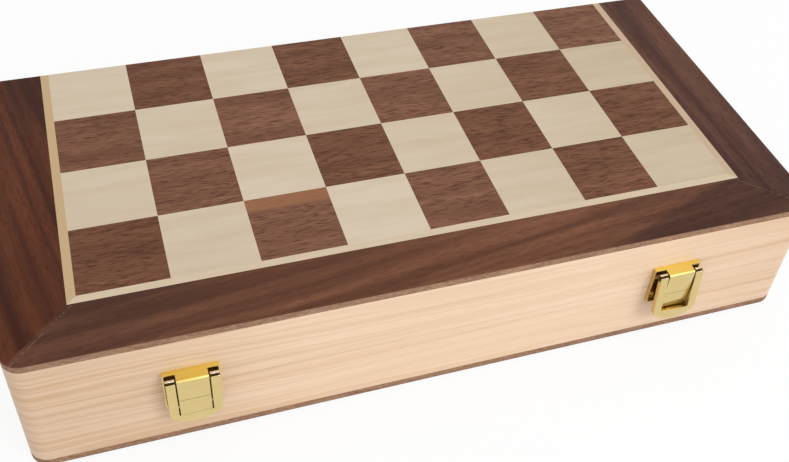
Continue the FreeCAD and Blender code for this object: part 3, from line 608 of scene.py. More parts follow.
def set_row(name, thing, material, count, start, step, turn=(0.0, 0.0, 0.0)):
    """Copies a thing along a row and joins the copies into one plain piece."""
    tree = bpy.data.node_groups.get("row_of_copies") or row_tree()
    carrier = bpy.data.objects.new(f"{name}_row", bpy.data.meshes.new(f"{name}_row"))
    bpy.context.scene.collection.objects.link(carrier)
    modifier = carrier.modifiers.new("row", "NODES")
    modifier.node_group = tree
    values = {
        "Thing": thing, "Count": count, "Start": start, "Step": step, "Turn": turn,
        "Finish": material,
    }
    for socket in tree.interface.items_tree:
        if socket.in_out == "INPUT" and socket.name in values:
            modifier[socket.identifier] = values[socket.name]
    graph = bpy.context.evaluated_depsgraph_get()
    mesh = bpy.data.meshes.new_from_object(carrier.evaluated_get(graph))
    mesh.name = name
    piece = bpy.data.objects.new(name, mesh)
    bpy.context.scene.collection.objects.link(piece)
    bpy.data.objects.remove(carrier)
    return piece


def master_of(name, shape, smooth=35):
    """A thing to copy, kept out of the scene."""
    mesh = bpy.data.meshes.new(name)
    shape.to_mesh(mesh)
    shape.free()
    mesh.shade_smooth()
    mesh.set_sharp_from_angle(angle=math.radians(smooth))
    return bpy.data.objects.new(name, mesh)


# chessmen, each upright with the middle of its base at the origin


def ball(centre, half_width, half_height, start=-60):
    """The outline of a turned ball, from its neck to its top."""
    turns = [math.radians(start + (90 - start) * step / 8) for step in range(9)]
    points = [
        (half_width * math.cos(turn), centre + half_height * math.sin(turn)) for turn in turns
    ]
    return ((*points[0], "crisp"), *points[1:-1], (0.0, points[-1][1]))


def foot(rim):
    """The outline of a turned base: a rim, a groove and a quirk under the stem."""
    return (
        (0.0, 0.0), (0.94, 0.0, "crisp"), (1.0, 0.2 * rim), (1.0, 0.75 * rim),
        (0.95, 1.03 * rim), (0.87, 1.06 * rim, "crisp"), (0.87, 1.28 * rim), (0.8, 1.47 * rim),
        (0.73, 1.54 * rim, "crisp"),
    )


# half outlines as shares of the man's base radius and height
TURNINGS = {
    "pawn": (
        *foot(0.12), (0.56, 0.215), (0.42, 0.29), (0.365, 0.38), (0.33, 0.5),
        (0.32, 0.555, "crisp"), (0.42, 0.572), (0.62, 0.602), (0.645, 0.612), (0.57, 0.625),
        (0.42, 0.645), (0.345, 0.668, "crisp"), *ball(0.835, 0.56, 0.165),
    ),
    "rook": (
        *foot(0.115), (0.6, 0.24), (0.53, 0.34), (0.5, 0.5), (0.48, 0.62, "crisp"),
        (0.53, 0.655), (0.62, 0.685), (0.6, 0.7, "crisp"), (0.66, 0.735), (0.74, 0.76, "crisp"),
        (0.73, 0.92, "crisp"), (0.5, 0.92, "crisp"), (0.5, 0.9, "crisp"), (0.0, 0.9),
    ),
    "knight": (
        *foot(0.105), (0.62, 0.195), (0.57, 0.245), (0.6, 0.285, "crisp"), (0.66, 0.305),
        (0.77, 0.335), (0.77, 0.35), (0.72, 0.36, "crisp"), (0.0, 0.365),
    ),
    "bishop": (
        *foot(0.096), (0.54, 0.18), (0.4, 0.27), (0.33, 0.38), (0.29, 0.5),
        (0.28, 0.555, "crisp"), (0.46, 0.587), (0.55, 0.6), (0.46, 0.612), (0.32, 0.637),
        (0.28, 0.655, "crisp"), (0.39, 0.69), (0.49, 0.74), (0.49, 0.79), (0.37, 0.86),
        (0.17, 0.915), (0.09, 0.932, "crisp"), *ball(0.966, 0.16, 0.034),
    ),
    "queen": (
        *foot(0.086), (0.54, 0.16), (0.4, 0.25), (0.31, 0.38), (0.27, 0.5),
        (0.25, 0.587, "crisp"), (0.34, 0.61), (0.47, 0.632), (0.49, 0.64), (0.45, 0.649),
        (0.33, 0.668), (0.27, 0.685, "crisp"), (0.29, 0.73), (0.36, 0.8), (0.49, 0.865),
        (0.55, 0.9, "crisp"), (0.49, 0.905, "crisp"), (0.42, 0.885), (0.34, 0.893),
        (0.22, 0.925), (0.12, 0.943, "crisp"), *ball(0.97, 0.15, 0.03),
    ),
    "king": (
        *foot(0.086), (0.54, 0.16), (0.4, 0.25), (0.33, 0.36), (0.29, 0.48),
        (0.27, 0.565, "crisp"), (0.37, 0.592), (0.48, 0.612), (0.49, 0.62), (0.45, 0.631),
        (0.34, 0.65), (0.29, 0.667, "crisp"), (0.31, 0.71), (0.38, 0.765), (0.5, 0.82),
        (0.535, 0.84, "crisp"), (0.5, 0.847, "crisp"), (0.36, 0.862), (0.2, 0.882),
        (0.11, 0.9, "crisp"), (0.0, 0.9),
    ),
}
# base radius and height of each man, in millimetres
MAN_SIZES = {
    "pawn": (10.5, 38.0), "rook": (11.8, 43.0), "knight": (11.8, 50.0), "bishop": (11.8, 54.0),
    "queen": (13.0, 64.0), "king": (13.5, 72.0),
}
FELT_THICKNESS = 0.6
KING_CROSS = (
    (0.075, 0.885), (0.05, 0.938), (0.26, 0.935), (0.26, 0.965), (0.05, 0.962), (0.08, 1.0),
    (-0.08, 1.0), (-0.05, 0.962), (-0.26, 0.965), (-0.26, 0.935), (-0.05, 0.938),
    (-0.075, 0.885),
)
BISHOP_CUT = ((0.1, 0.76), (0.7, 0.895), (0.7, 0.925), (0.07, 0.785))


def cornered(points, rounds=2):
    """Cuts the corners of an outline again and again, all but the crisp ones."""
    corners = [(point[0], point[1], len(point) > 2) for point in points]
    for _ in range(rounds):
        cut = [corners[0]]
        for before, corner, after in zip(corners, corners[1:], corners[2:]):
            if corner[2]:
                cut.append(corner)
                continue
            for other in (before, after):
                cut.append((
                    0.75 * corner[0] + 0.25 * other[0], 0.75 * corner[1] + 0.25 * other[1], False,
                ))
        corners = [*cut, corners[-1]]
    return corners


def turned(points, steps):
    """A closed shape turned from an outline of radius and height in millimetres."""
    shape = bmesh.new()
    rings = []
    for radius, height in points:
        count = steps if radius > 0.001 else 1
        turns = [2 * math.pi * step / steps for step in range(count)]
        rings.append([
            shape.verts.new(
                (radius * MM * math.cos(turn), radius * MM * math.sin(turn), height * MM))
            for turn in turns
        ])
    for low, high in zip(rings, rings[1:]):
        for step in range(steps):
            after = step + 1
            corners = [
                low[step % len(low)], low[after % len(low)], high[after % len(high)],
                high[step % len(high)],
            ]
            shape.faces.new(list(dict.fromkeys(corners)))
    return shape


def turned_man(kind, steps):
    radius, height = MAN_SIZES[kind]
    outline = cornered(TURNINGS[kind])
    return turned([(x * radius, max(z * height, FELT_THICKNESS)) for x, z, _ in outline], steps)


def sawn(kind, points, thickness, ease=0.0):
    """A flat shape sawn to an outline that stands upright on the man's axis."""
    radius, height = MAN_SIZES[kind]
    shape = bmesh.new()
    corners = [
        shape.verts.new((x * radius * MM, -thickness * MM / 2, z * height * MM)) for x, z in points
    ]
    front = shape.faces.new(corners)
    raised = bmesh.ops.extrude_face_region(shape, geom=[front])["geom"]
    verts = [item for item in raised if isinstance(item, bmesh.types.BMVert)]
    bmesh.ops.translate(shape, verts=verts, vec=(0, thickness * MM, 0))
    bmesh.ops.recalc_face_normals(shape, faces=shape.faces[:])
    if ease:
        bmesh.ops.bevel(
            shape, geom=shape.edges[:], offset=ease * MM, segments=2, profile=0.5,
            affect="EDGES", clamp_overlap=True,
        )
    return shape


def add_shape(shape, other):
    """Puts a second shape's faces in with the first."""
    carried = bpy.data.meshes.new("carried")
    other.to_mesh(carried)
    other.free()
    shape.from_mesh(carried)
    bpy.data.meshes.remove(carried)
    return shape


def raise_merlons(shape, steps):
    """Raises four stretches of the rook's rim between its notches."""
    radius, height = MAN_SIZES["rook"]
    notch_half_turn = math.radians(17)
    rim = []
    for face in shape.faces:
        middle = face.calc_center_median() / MM
        level = abs(middle.z - 0.92 * height) < 0.05
        away = math.hypot(middle.x, middle.y)
        turn = math.atan2(middle.y, middle.x) % (math.pi / 2)
        clear = notch_half_turn < turn < math.pi / 2 - notch_half_turn
        if level and 0.5 * radius < away < 0.74 * radius and clear:
            rim.append(face)
    raised = bmesh.ops.extrude_face_region(shape, geom=rim)["geom"]
    verts = [item for item in raised if isinstance(item, bmesh.types.BMVert)]
    bmesh.ops.translate(shape, verts=verts, vec=(0, 0, 0.08 * height * MM))
    bmesh.ops.delete(shape, geom=rim, context="FACES_ONLY")
    return shape


def cut_coronet(shape):
    """Scallops the queen's rim into eight points."""
    radius, height = MAN_SIZES["queen"]
    for vert in shape.verts:
        away = math.hypot(vert.co.x, vert.co.y) / MM / radius
        if away > 0.4 and 0.86 * height < vert.co.z / MM < 0.91 * height:
            turn = math.atan2(vert.co.y, vert.co.x)
            reach = (vert.co.z / MM / height - 0.86) / 0.045
            vert.co.z -= 1.9 * MM * min(reach, 1.0) * abs(math.sin(4 * turn))
    return shape


def slit_mitre(master):
    """Cuts the slanted slot into the bishop's mitre."""
    return cut_away(master, master_of("mitre_slot", sawn("bishop", BISHOP_CUT, 26.0)))


def evaluated(thing, kind, settings, helpers=()):
    """Gives a thing the mesh that one modifier makes of it."""
    shown = bpy.context.scene.collection.objects
    away = [item for item in (thing, *helpers) if item.name not in shown]
    for item in away:
        shown.link(item)
    modifier = thing.modifiers.new(kind.lower(), kind)
    for name, value in settings.items():
        setattr(modifier, name, value)
    graph = bpy.context.evaluated_depsgraph_get()
    mesh = bpy.data.meshes.new_from_object(thing.evaluated_get(graph))
    thing.modifiers.clear()
    thing.data = mesh
    if thing in away:
        shown.unlink(thing)
    for item in helpers:
        bpy.data.objects.remove(item)
    return thing


def cut_away(thing, cutter):
    """Cuts one shape out of another; the cutter is used up."""
    settings = {"object": cutter, "operation": "DIFFERENCE", "solver": "EXACT"}
    return evaluated(thing, "BOOLEAN", settings, [cutter])


# the horse's head: places along neck and face, as x, z, slant, half depth and half thickness
NECK = (
    (-0.2, 17.2, 90, 8.2, 5.6), (-0.9, 21.0, 92, 8.0, 5.5), (-1.9, 25.5, 95, 6.6, 5.0),
    (-2.3, 30.0, 92, 5.8, 4.6), (-2.0, 34.5, 80, 5.9, 4.3), (-0.6, 38.5, 62, 5.6, 4.0),
    (1.6, 41.2, 40, 4.4, 3.5), (3.4, 42.2, 20, 2.6, 2.4),
)
FACE = (
    (-1.5, 40.0, -20, 4.6, 3.6), (2.0, 39.6, -28, 5.2, 4.3), (5.0, 37.6, -36, 4.9, 4.2),
    (7.4, 35.6, -38, 3.7, 3.4), (9.4, 34.0, -38, 3.0, 2.8), (10.9, 32.8, -38, 2.9, 2.9),
    (11.9, 32.0, -38, 1.9, 2.1),
)
MANE = (
    (0.4, 45.2, 30), (-2.6, 43.6, 48), (-5.2, 41.2, 62), (-7.0, 38.0, 75), (-8.0, 34.4, 84),
    (-8.4, 30.6, 90), (-8.3, 26.8, 94), (-7.9, 23.0, 98),
)


def limb(stations, steps=24):
    """A closed shape drawn along ellipses, each across its own slant in degrees."""
    shape = bmesh.new()
    rings = []
    for x, z, slant, depth, thickness in stations:
        across = math.radians(slant + 90)
        ring = []
        for step in range(steps):
            turn = 2 * math.pi * step / steps
            reach = depth * math.cos(turn)
            ring.append(shape.verts.new((
                (x + reach * math.cos(across)) * MM, thickness * math.sin(turn) * MM,
                (z + reach * math.sin(across)) * MM,
            )))
        rings.append(ring)
    for low, high in zip(rings, rings[1:]):
        for step in range(steps):
            after = (step + 1) % steps
            shape.faces.new((low[step], low[after], high[after], high[step]))
    shape.faces.new(rings[0])
    shape.faces.new(rings[-1])
    bmesh.ops.recalc_face_normals(shape, faces=shape.faces[:])
    return shape


def bead(shape, spot, half_sizes, slant=0.0):
    """Adds a small egg, slanted about the Y axis."""
    place = (
        Matrix.Translation(Vector(spot) * MM)
        @ Matrix.Rotation(math.radians(-slant), 4, "Y")
        @ Matrix.Diagonal((*[size * MM for size in half_sizes], 1.0))
    )
    bmesh.ops.create_uvsphere(shape, u_segments=16, v_segments=10, radius=1.0, matrix=place)


def horse_head():
    """The knight's head, with ears, eyes, a mane of eight locks, a mouth and nostrils."""
    shape = limb(NECK)
    add_shape(shape, limb(FACE))
    for side in (-1, 1):
        bead(shape, (3.0, side * 2.1, 45.6), (1.1, 1.0, 3.6), slant=-14)
        bead(shape, (5.4, side * 3.5, 39.6), (1.5, 1.0, 1.0), slant=-36)
        bead(shape, (1.6, side * 2.6, 37.0), (3.2, 2.2, 3.4))
        bead(shape, (10.9, side * 1.9, 33.6), (1.2, 0.9, 1.0), slant=-38)
    for x, z, slant in MANE:
        bead(shape, (x, 0.0, z), (2.7, 2.1, 1.5), slant=slant + 62)
    head = master_of("horse_head", shape)
    evaluated(head, "REMESH", {"mode": "VOXEL", "voxel_size": 0.42 * MM, "adaptivity": 0.0})
    evaluated(head, "SMOOTH", {"iterations": 3, "factor": 0.5})
    for vert in head.data.vertices:
        spot = vert.co / MM
        mouth = abs((spot.z - 31.9) + 0.55 * (spot.x - 9.6)) < 0.4 and 7.6 < spot.x < 12.6
        nostril = math.hypot(spot.x - 11.2, spot.z - 34.0) < 0.55
        if abs(spot.y) > 0.8 and (mouth or nostril):
            vert.co.y *= 0.82
    return evaluated(head, "DECIMATE", {"ratio": 0.3})


def man_master(kind, steps):
    """One man of each kind, upright."""
    shape = turned_man(kind, steps)
    radius, height = MAN_SIZES[kind]
    if kind == "rook":
        raise_merlons(shape, steps)
    if kind == "queen":
        cut_coronet(shape)
    if kind == "king":
        add_shape(shape, sawn("king", KING_CROSS, 0.15 * radius, ease=0.3))
    if kind == "knight":
        head = horse_head()
        shape.from_mesh(head.data)
        bpy.data.objects.remove(head)
    master = master_of(f"{kind}_master", shape)
    return slit_mitre(master) if kind == "bishop" else master


# the beds; the back rank lies along the front wall and the pawns along the hinges

BED_COLUMNS = 8
RANKS = {
    "rook": ("front", 0, 7, 2), "knight": ("front", 1, 5, 2), "bishop": ("front", 2, 3, 2),
    "queen": ("front", 3, 1, 1), "king": ("front", 4, 1, 1), "pawn": ("back", 0, 1, 8),
}
# the places on each man that touch its bed: rim height, then crown radius and height, as shares
RESTS = {
    "pawn": (0.12, 0.54, 0.91), "rook": (0.12, 0.74, 1.0), "knight": (0.12, 5.75 / 11.8, 1.0),
    "bishop": (0.1, 0.5, 0.76), "queen": (0.09, 0.56, 0.9), "king": (0.09, 0.54, 0.84),
}
CAVITY_HALF_LENGTH = 180.0
POCKET_END = 81.0
POCKET_GAP = 0.8
BED_SEAT = 5.3


def lying(kind, half):
    """Where a kind's first man lies, how far it is to the next, and how the men are turned."""
    radius, height = MAN_SIZES[kind]
    rim, crown, reach = RESTS[kind]
    lean = math.atan2(radius * (1 - crown), height * (reach - rim))
    line, first, step, _ = RANKS[kind]
    turn = -1 if line == "front" else 1
    drop = 1 if half == "lower" else -1
    pitch = 2 * CAVITY_HALF_LENGTH / BED_COLUMNS
    seat = BED_SEAT + radius * math.cos(lean) + rim * height * math.sin(lean)
    along = POCKET_END - POCKET_GAP - radius * math.sin(lean)
    spot = (
        (first + 0.5) * pitch - CAVITY_HALF_LENGTH,
        turn * along,
        seat if half == "lower" else 2 * SEAM / MM - seat,
    )
    return (
        Vector(spot) * MM,
        Vector((step * pitch * MM, 0.0, 0.0)),
        (turn * (math.pi / 2 + drop * lean), 0.0, 0.0),
    )


def felt_disc(radius):
    outline = ((0.0, 0.0), (radius, 0.0), (radius, FELT_THICKNESS), (0.0, FELT_THICKNESS))
    return turned(outline, 32)


# settings


class BoardWoods(PropertyGroup):
    """Colours of the board's veneers, its edge and the box's walls."""


class BrassFinish(PropertyGroup):
    """Colours and gloss of the latches and hinges."""


class BedFinish(PropertyGroup):
    """Colours of the flocked beds."""


class ChessmenWoods(PropertyGroup):
    """Colours of the two sides' chessmen."""


class StudioLight(PropertyGroup):
    """Strength of the lamps and the room's own light."""


def colour_setting(name, description, colour):
    return FloatVectorProperty(
        name=name, description=description, subtype="COLOR", size=3, min=0, max=1, default=colour
    )


SETTINGS = {
    BoardWoods: {
        "dark_square": colour_setting(
            "Dark square", "Main colour of the dark veneer", shade(118, 77, 57)),
        "dark_square_light": colour_setting(
            "Dark square light", "Light bands of the dark veneer", shade(139, 95, 71)),
        "dark_square_band": colour_setting(
            "Dark square band", "Reddish band along some dark squares", shade(148, 98, 68)),
        "dark_square_pore": colour_setting(
            "Dark square pores", "Pores of the dark veneer", shade(76, 45, 34)),
        "light_square": colour_setting(
            "Light square", "Main colour of the light veneer", shade(217, 200, 177)),
        "light_square_grain": colour_setting(
            "Light square grain", "Grain of the light veneer", shade(192, 170, 134)),
        "walnut": colour_setting("Walnut", "Main colour of the border", shade(103, 66, 48)),
        "walnut_light": colour_setting(
            "Walnut light", "Light bands of the border", shade(123, 82, 60)),
        "walnut_dark": colour_setting("Walnut dark", "Dark streaks of the border", shade(66, 38, 29)),
        "heartwood": colour_setting(
            "Heartwood", "Tint of the border's darkest wood", (0.44, 0.44, 0.54)),
        "stringing_front": colour_setting(
            "Front stringing", "Pale line along the front", shade(214, 194, 166)),
        "stringing_left": colour_setting(
            "Left stringing", "Pale line along the left end", shade(197, 167, 125)),
        "stringing_right": colour_setting(
            "Right stringing", "Pale line along the right end", shade(198, 171, 143)),
        "wall": colour_setting("Wall", "Main colour of the walls", shade(236, 208, 181)),
        "wall_grain": colour_setting("Wall grain", "Growth lines of the walls", shade(216, 180, 144)),
        "wall_ends": colour_setting(
            "Wall ends", "Tint that the walls take towards their ends", (0.86, 0.83, 0.81)),
        "edge": colour_setting("Edge", "Light specks of the board's edge", shade(178, 142, 114)),
        "edge_dark": colour_setting("Edge dark", "Dark part of the board's edge", shade(128, 92, 70)),
    },
    BrassFinish: {
        "brass": colour_setting("Brass", "Main colour of the plating", shade(219, 197, 140)),
        "brass_deep": colour_setting("Deep brass", "Deeper tone of the plating", shade(212, 184, 96)),
        # colour of the painted reflection on the hoods' upward ledges
        "brass_ledge": colour_setting("Brass ledge", "Tone of the hoods' tops", shade(250, 232, 124)),
        # colour of the painted highlight on the rolled eyes' tops
        "brass_bright": colour_setting(
            "Brass bright", "Tone of the rolled eyes' tops", shade(252, 242, 222)),
        # colour of the painted shade inside the hoods, on the open lever's lip and in the eyes' slits
        "brass_inside": colour_setting(
            "Brass inside", "Tone inside the hoods and folds", shade(92, 62, 24)),
        "roughness": FloatProperty(
            name="Roughness", description="How dull the plating is", default=0.14, min=0, max=1,
            subtype="FACTOR"),
    },
    BedFinish: {
        "flock": colour_setting("Flock", "Main colour of the flock", shade(44, 84, 60)),
        "flock_dark": colour_setting("Flock dark", "Dark part of the flock", shade(24, 52, 38)),
    },
    ChessmenWoods: {
        "light": colour_setting("Light men", "Light side's wood", shade(232, 200, 152)),
        "light_grain": colour_setting("Light men grain", "Light side's grain", shade(204, 162, 108)),
        "dark": colour_setting("Dark men", "Dark side's wood", shade(110, 66, 46)),
        "dark_grain": colour_setting("Dark men grain", "Dark side's grain", shade(62, 34, 24)),
        "felt": colour_setting("Felt", "Felt under each base", shade(36, 88, 58)),
        "felt_dark": colour_setting("Felt dark", "Dark part of the felt", shade(20, 52, 34)),
        "roundness": IntProperty(
            name="Roundness", description="Flats round each turned man", default=40, min=12, max=96),
    },
    StudioLight: {
        "key": FloatProperty(
            name="Key lamp", description="Power of the large lamp", default=13.0, min=0, unit="POWER"),
        "room": FloatProperty(
            name="Room light", description="Strength of the light from all round", default=0.76,
            min=0),
    },
}
for group, made in SETTINGS.items():
    group.__annotations__ = made


class ChessSetSettings(PropertyGroup):
    """Every setting of the chess set."""

    woods: PointerProperty(type=BoardWoods)
    brass: PointerProperty(type=BrassFinish)
    beds: PointerProperty(type=BedFinish)
    chessmen: PointerProperty(type=ChessmenWoods)
    light: PointerProperty(type=StudioLight)


# operators


class CHESSBOX_OT_stage(Operator):
    """Set the floor, the lamps, the white room and the camera"""

    bl_idname = "chessbox.stage"
    bl_label = "Stage and camera"

    def execute(self, context):
        settings = context.scene.chess_set.light
        make_floor()
        make_room(context.scene, settings.room)
        make_lamps(settings.key)
        make_camera(context.scene)
        return {"FINISHED"}


def make_floor():
    shape = bmesh.new()
    bmesh.ops.create_grid(shape, x_segments=1, y_segments=1, size=4.0)
    bmesh.ops.translate(shape, verts=shape.verts[:], vec=(0, 0, -0.3 * MM))
    finish = Finish("pale_floor")
    paper = finish.node("ShaderNodeBsdfDiffuse", inputs={"Color": (0.94, 0.94, 0.94)})
    white = finish.node("ShaderNodeEmission", inputs={"Color": (1.0, 1.0, 1.0)})
    rays = "ShaderNodeLightPath"
    seen = finish.node(rays, output="Is Camera Ray") + finish.node(rays, output="Is Glossy Ray")
    seen = finish.spread(seen, 0.0, 1.0, 0.0, 0.88)
    mixed = finish.node("ShaderNodeMixShader", inputs={0: seen, 1: paper, 2: white})
    finish.node("ShaderNodeOutputMaterial", inputs={"Surface": mixed})
    new_piece("floor", shape, finish.material)


def make_room(scene, strength):
    """A plain room: white to the eye and in reflections, softer as a light."""
    world = bpy.data.worlds.new("white_room")
    scene.world = world
    world.use_nodes = True
    tree = world.node_tree
    tree.nodes.clear()
    path = tree.nodes.new("ShaderNodeLightPath")
    seen = tree.nodes.new("ShaderNodeMath")
    seen.operation = "MAXIMUM"
    clear = tree.nodes.new("ShaderNodeMath")
    clear.operation = "MAXIMUM"
    level = tree.nodes.new("ShaderNodeMapRange")
    level.inputs["To Min"].default_value = strength
    level.inputs["To Max"].default_value = 1.0
    background = tree.nodes.new("ShaderNodeBackground")
    background.inputs["Color"].default_value = (1.0, 1.0, 1.0, 1.0)
    output = tree.nodes.new("ShaderNodeOutputWorld")
    for start, end in (
        (path.outputs["Is Camera Ray"], seen.inputs[0]),
        (path.outputs["Is Glossy Ray"], seen.inputs[1]),
        (seen.outputs[0], clear.inputs[0]),
        (path.outputs["Is Transmission Ray"], clear.inputs[1]),
        (clear.outputs[0], level.inputs["Value"]),
        (level.outputs[0], background.inputs["Strength"]),
        (background.outputs[0], output.inputs["Surface"]),
    ):
        tree.links.new(start, end)


def make_lamp(name, spot, target, size, power):
    lamp = bpy.data.lights.new(name, "AREA")
    lamp.shape = "DISK"
    lamp.size = size
    lamp.energy = power
    holder = bpy.data.objects.new(name, lamp)
    bpy.context.scene.collection.objects.link(holder)
    holder.location = spot
    holder.rotation_mode = "QUATERNION"
    holder.rotation_quaternion = (Vector(target) - Vector(spot)).to_track_quat("-Z", "Y")


def make_lamps(power):
    make_lamp("key_lamp", (0.7, -1.3, 1.2), (0, 0, 0.03), 0.9, power)


# the view of the photograph, in the frame's own axes
CAMERA_SPOT = (-0.1328, -0.3702, 0.4034)
CAMERA_RIGHT = Vector((0.9473, -0.313, 0.0675))
CAMERA_UP = Vector((0.1716, 0.6743, 0.7182))
PHOTO_WIDTH, PHOTO_HEIGHT = 789, 462
FOCAL_PIXELS = 1023.4955
CENTRE_PIXEL = (415.334, 208.653)
SENSOR_WIDTH = 36.0


def make_camera(scene):
    camera = bpy.data.cameras.new("camera")
    camera.sensor_fit = "HORIZONTAL"
    camera.sensor_width = SENSOR_WIDTH
    camera.lens = FOCAL_PIXELS * SENSOR_WIDTH / PHOTO_WIDTH
    camera.shift_x = (PHOTO_WIDTH / 2 - CENTRE_PIXEL[0]) / PHOTO_WIDTH
    camera.shift_y = (CENTRE_PIXEL[1] - PHOTO_HEIGHT / 2) / PHOTO_WIDTH
    camera.clip_start, camera.clip_end = 0.01, 20.0
    right = CAMERA_RIGHT.normalized()
    back = right.cross(CAMERA_UP).normalized()
    up = back.cross(right)
    holder = bpy.data.objects.new("camera", camera)
    scene.collection.objects.link(holder)
    turned = Matrix((right, up, back)).transposed().to_4x4()
    holder.matrix_world = Matrix.Translation(CAMERA_SPOT) @ turned
    scene.camera = holder
    scene.view_settings.view_transform = "Standard"


class CHESSBOX_OT_board(Operator):
    """Finish the chequered veneers and the pale line round them"""

    bl_idname = "chessbox.board"
    bl_label = "Squares and stringing"

    def execute(self, context):
        woods = context.scene.chess_set.woods
        dark, light = dark_square_finish(woods), light_square_finish(woods)
        line = stringing_finish(woods)
        for half in HALVES:
            dress(f"{half}_dark_squares", dark)
            dress(f"{half}_light_squares", light)
            dress(f"{half}_stringing", line)
        return {"FINISHED"}


class CHESSBOX_OT_border(Operator):
    """Make the walnut border strips, each along its own grain and eased at its outer edge"""

    bl_idname = "chessbox.border"
    bl_label = "Walnut border"

    def execute(self, context):
        woods = context.scene.chess_set.woods
        strips = {
            "left_border": (math.radians(80), 11.0, (0.66, 0.44, 0.31), 0.85),
            "front_border": (math.radians(-7), 26.0, (1.15, 1.1, 1.05), 0.6),
            "right_border": (math.radians(88), 37.0, (0.84, 0.8, 0.88), 0.75),
        }
        for name, looks in strips.items():
            finish = border_finish(woods, name, *looks)
            for half in HALVES:
                soften(
                    f"{half}_{name}", f"{half}_eased_{name}", f"{half}_half",
                    finish, ((0.35, lambda *ends: all(on_arris(end) for end in ends)),),
                )
        return {"FINISHED"}


def on_arris(point):
    """Whether a point in millimetres is on the box's outer edge, at its top or underside."""
    low, high = FITTED_BOX[0].z / MM, FITTED_BOX[1].z / MM
    level = min(abs(point.z - low), abs(point.z - high)) < 0.05
    half_length = FITTED_BOX[1].x / MM
    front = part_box("upper_front_border")[0].y / MM
    over_x = abs(point.x) - (half_length - CORNER_RADIUS)
    over_y = front + CORNER_RADIUS - point.y
    if over_x > 0 and over_y > 0:
        return level and math.hypot(over_x, over_y) > CORNER_RADIUS - 0.05
    return level and (over_x > CORNER_RADIUS - 0.05 or over_y > CORNER_RADIUS - 0.05)


class CHESSBOX_OT_walls(Operator):
    """Finish the walls and the boards' edges"""

    bl_idname = "chessbox.walls"
    bl_label = "Walls and edges"

    def execute(self, context):
        woods = context.scene.chess_set.woods
        pale, edge = wall_finish(woods), core_finish(woods)
        for half in HALVES:
            dress(f"{half}_board_core", edge)
            for side in ("front", "left", "right", "back"):
                dress(f"{half}_{side}_wall", pale)
        return {"FINISHED"}


def clear_of_seam(*ends):
    """Whether an edge in millimetres is away from the parting line and the catch's ledge."""
    ledge = LATCH_SPOT.z - WINDOW_DROP + LEDGE_GAP
    return any(abs(end.z - SEAM / MM) > 0.3 and abs(end.z - ledge) > 0.1 for end in ends)


def clear_of_eyes(*ends):
    """Whether an edge in millimetres is away from the rolled eyes and the bar's top."""
    top = LATCH_SPOT.z - WINDOW_DROP
    return all(
        math.hypot(end.y - LATCH_SPOT.y, end.z - LATCH_SPOT.z) > 2.2 and abs(end.z - top) > 0.1
        for end in ends
    )


# the lever's window: half width, depth of its bottom edge under the pin, and the folds' outline
WINDOW_HALF = 7.5
WINDOW_DROP = 21.9
LEDGE_GAP = 0.3
LEDGE_BEND = 1.2
FOLD_OUTLINE = ((-1.2, -22.5), (2.4, -22.5), (2.4, -7.0), (0.4, -3.2), (-1.2, -3.2))
LEVER_TILTS = {"left": 0.0, "right": 6.0}


def close_bar(piece):
    """Brings the closed lever's bar up against the catch."""
    top = LATCH_SPOT.z - WINDOW_DROP
    for vert in piece.data.vertices:
        spot = vert.co / MM
        if abs(abs(spot.x) - LATCH_SPOT.x) < WINDOW_HALF + 0.2 and -1.5 < spot.z - top < 0.4:
            vert.co.z += (LEDGE_GAP - 0.02) * MM


def sharpen_ledge(piece):
    """Takes the bend at the catch's ledge out to a corner, so that the closed lever meets it."""
    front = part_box("left_latch_catch")[0].y / MM
    low = LATCH_SPOT.z - WINDOW_DROP + LEDGE_GAP
    for vert in piece.data.vertices:
        back, above = vert.co.y / MM - front, vert.co.z / MM - low
        from_centre = math.hypot(LEDGE_BEND - back, LEDGE_BEND - above)
        if max(back, above) < LEDGE_BEND and LEDGE_BEND - 0.25 < from_centre < LEDGE_BEND + 0.05:
            nearer = min(back, above)
            vert.co.y -= nearer * MM
            vert.co.z -= nearer * MM


def tilted(side):
    """The place of a lever's own axes: on its pin, turned with the lever."""
    spot = Vector((LATCH_SPOT.x * (1 if side == "right" else -1), LATCH_SPOT.y, LATCH_SPOT.z)) * MM
    return Matrix.Translation(spot) @ Matrix.Rotation(math.radians(-LEVER_TILTS[side]), 4, "X")


def eye_cutter(side):
    """What opens the slit of the rolled eyes, up and out from the pin."""
    shape = bmesh.new()
    place = (
        tilted(side)
        @ Matrix.Rotation(math.radians(45), 4, "X")
        @ Matrix.Translation(Vector((0, 0, 2.25)) * MM)
        @ Matrix.Diagonal((30 * MM, 1.25 * MM, 2 * MM, 1))
    )
    bmesh.ops.create_cube(shape, size=1.0, matrix=place)
    return master_of("eye_cutter", shape)


def window_folds(side, material):
    """The side edges of the lever's window, folded inwards like its bottom edge."""
    shape = bmesh.new()
    for end in (-1, 1):
        start = end * (WINDOW_HALF + 0.02)
        near, far = [
            [shape.verts.new(Vector((across, y, z)) * MM) for y, z in FOLD_OUTLINE]
            for across in (start, start + end * SHEET / MM)
        ]
        shape.faces.new(near)
        shape.faces.new(far)
        for step in range(len(near)):
            after = (step + 1) % len(near)
            shape.faces.new((near[step], near[after], far[after], far[step]))
    bmesh.ops.recalc_face_normals(shape, faces=shape.faces[:])
    bmesh.ops.transform(shape, matrix=tilted(side), verts=shape.verts[:])
    return new_piece(f"{side}_lever_window_folds", shape, material)


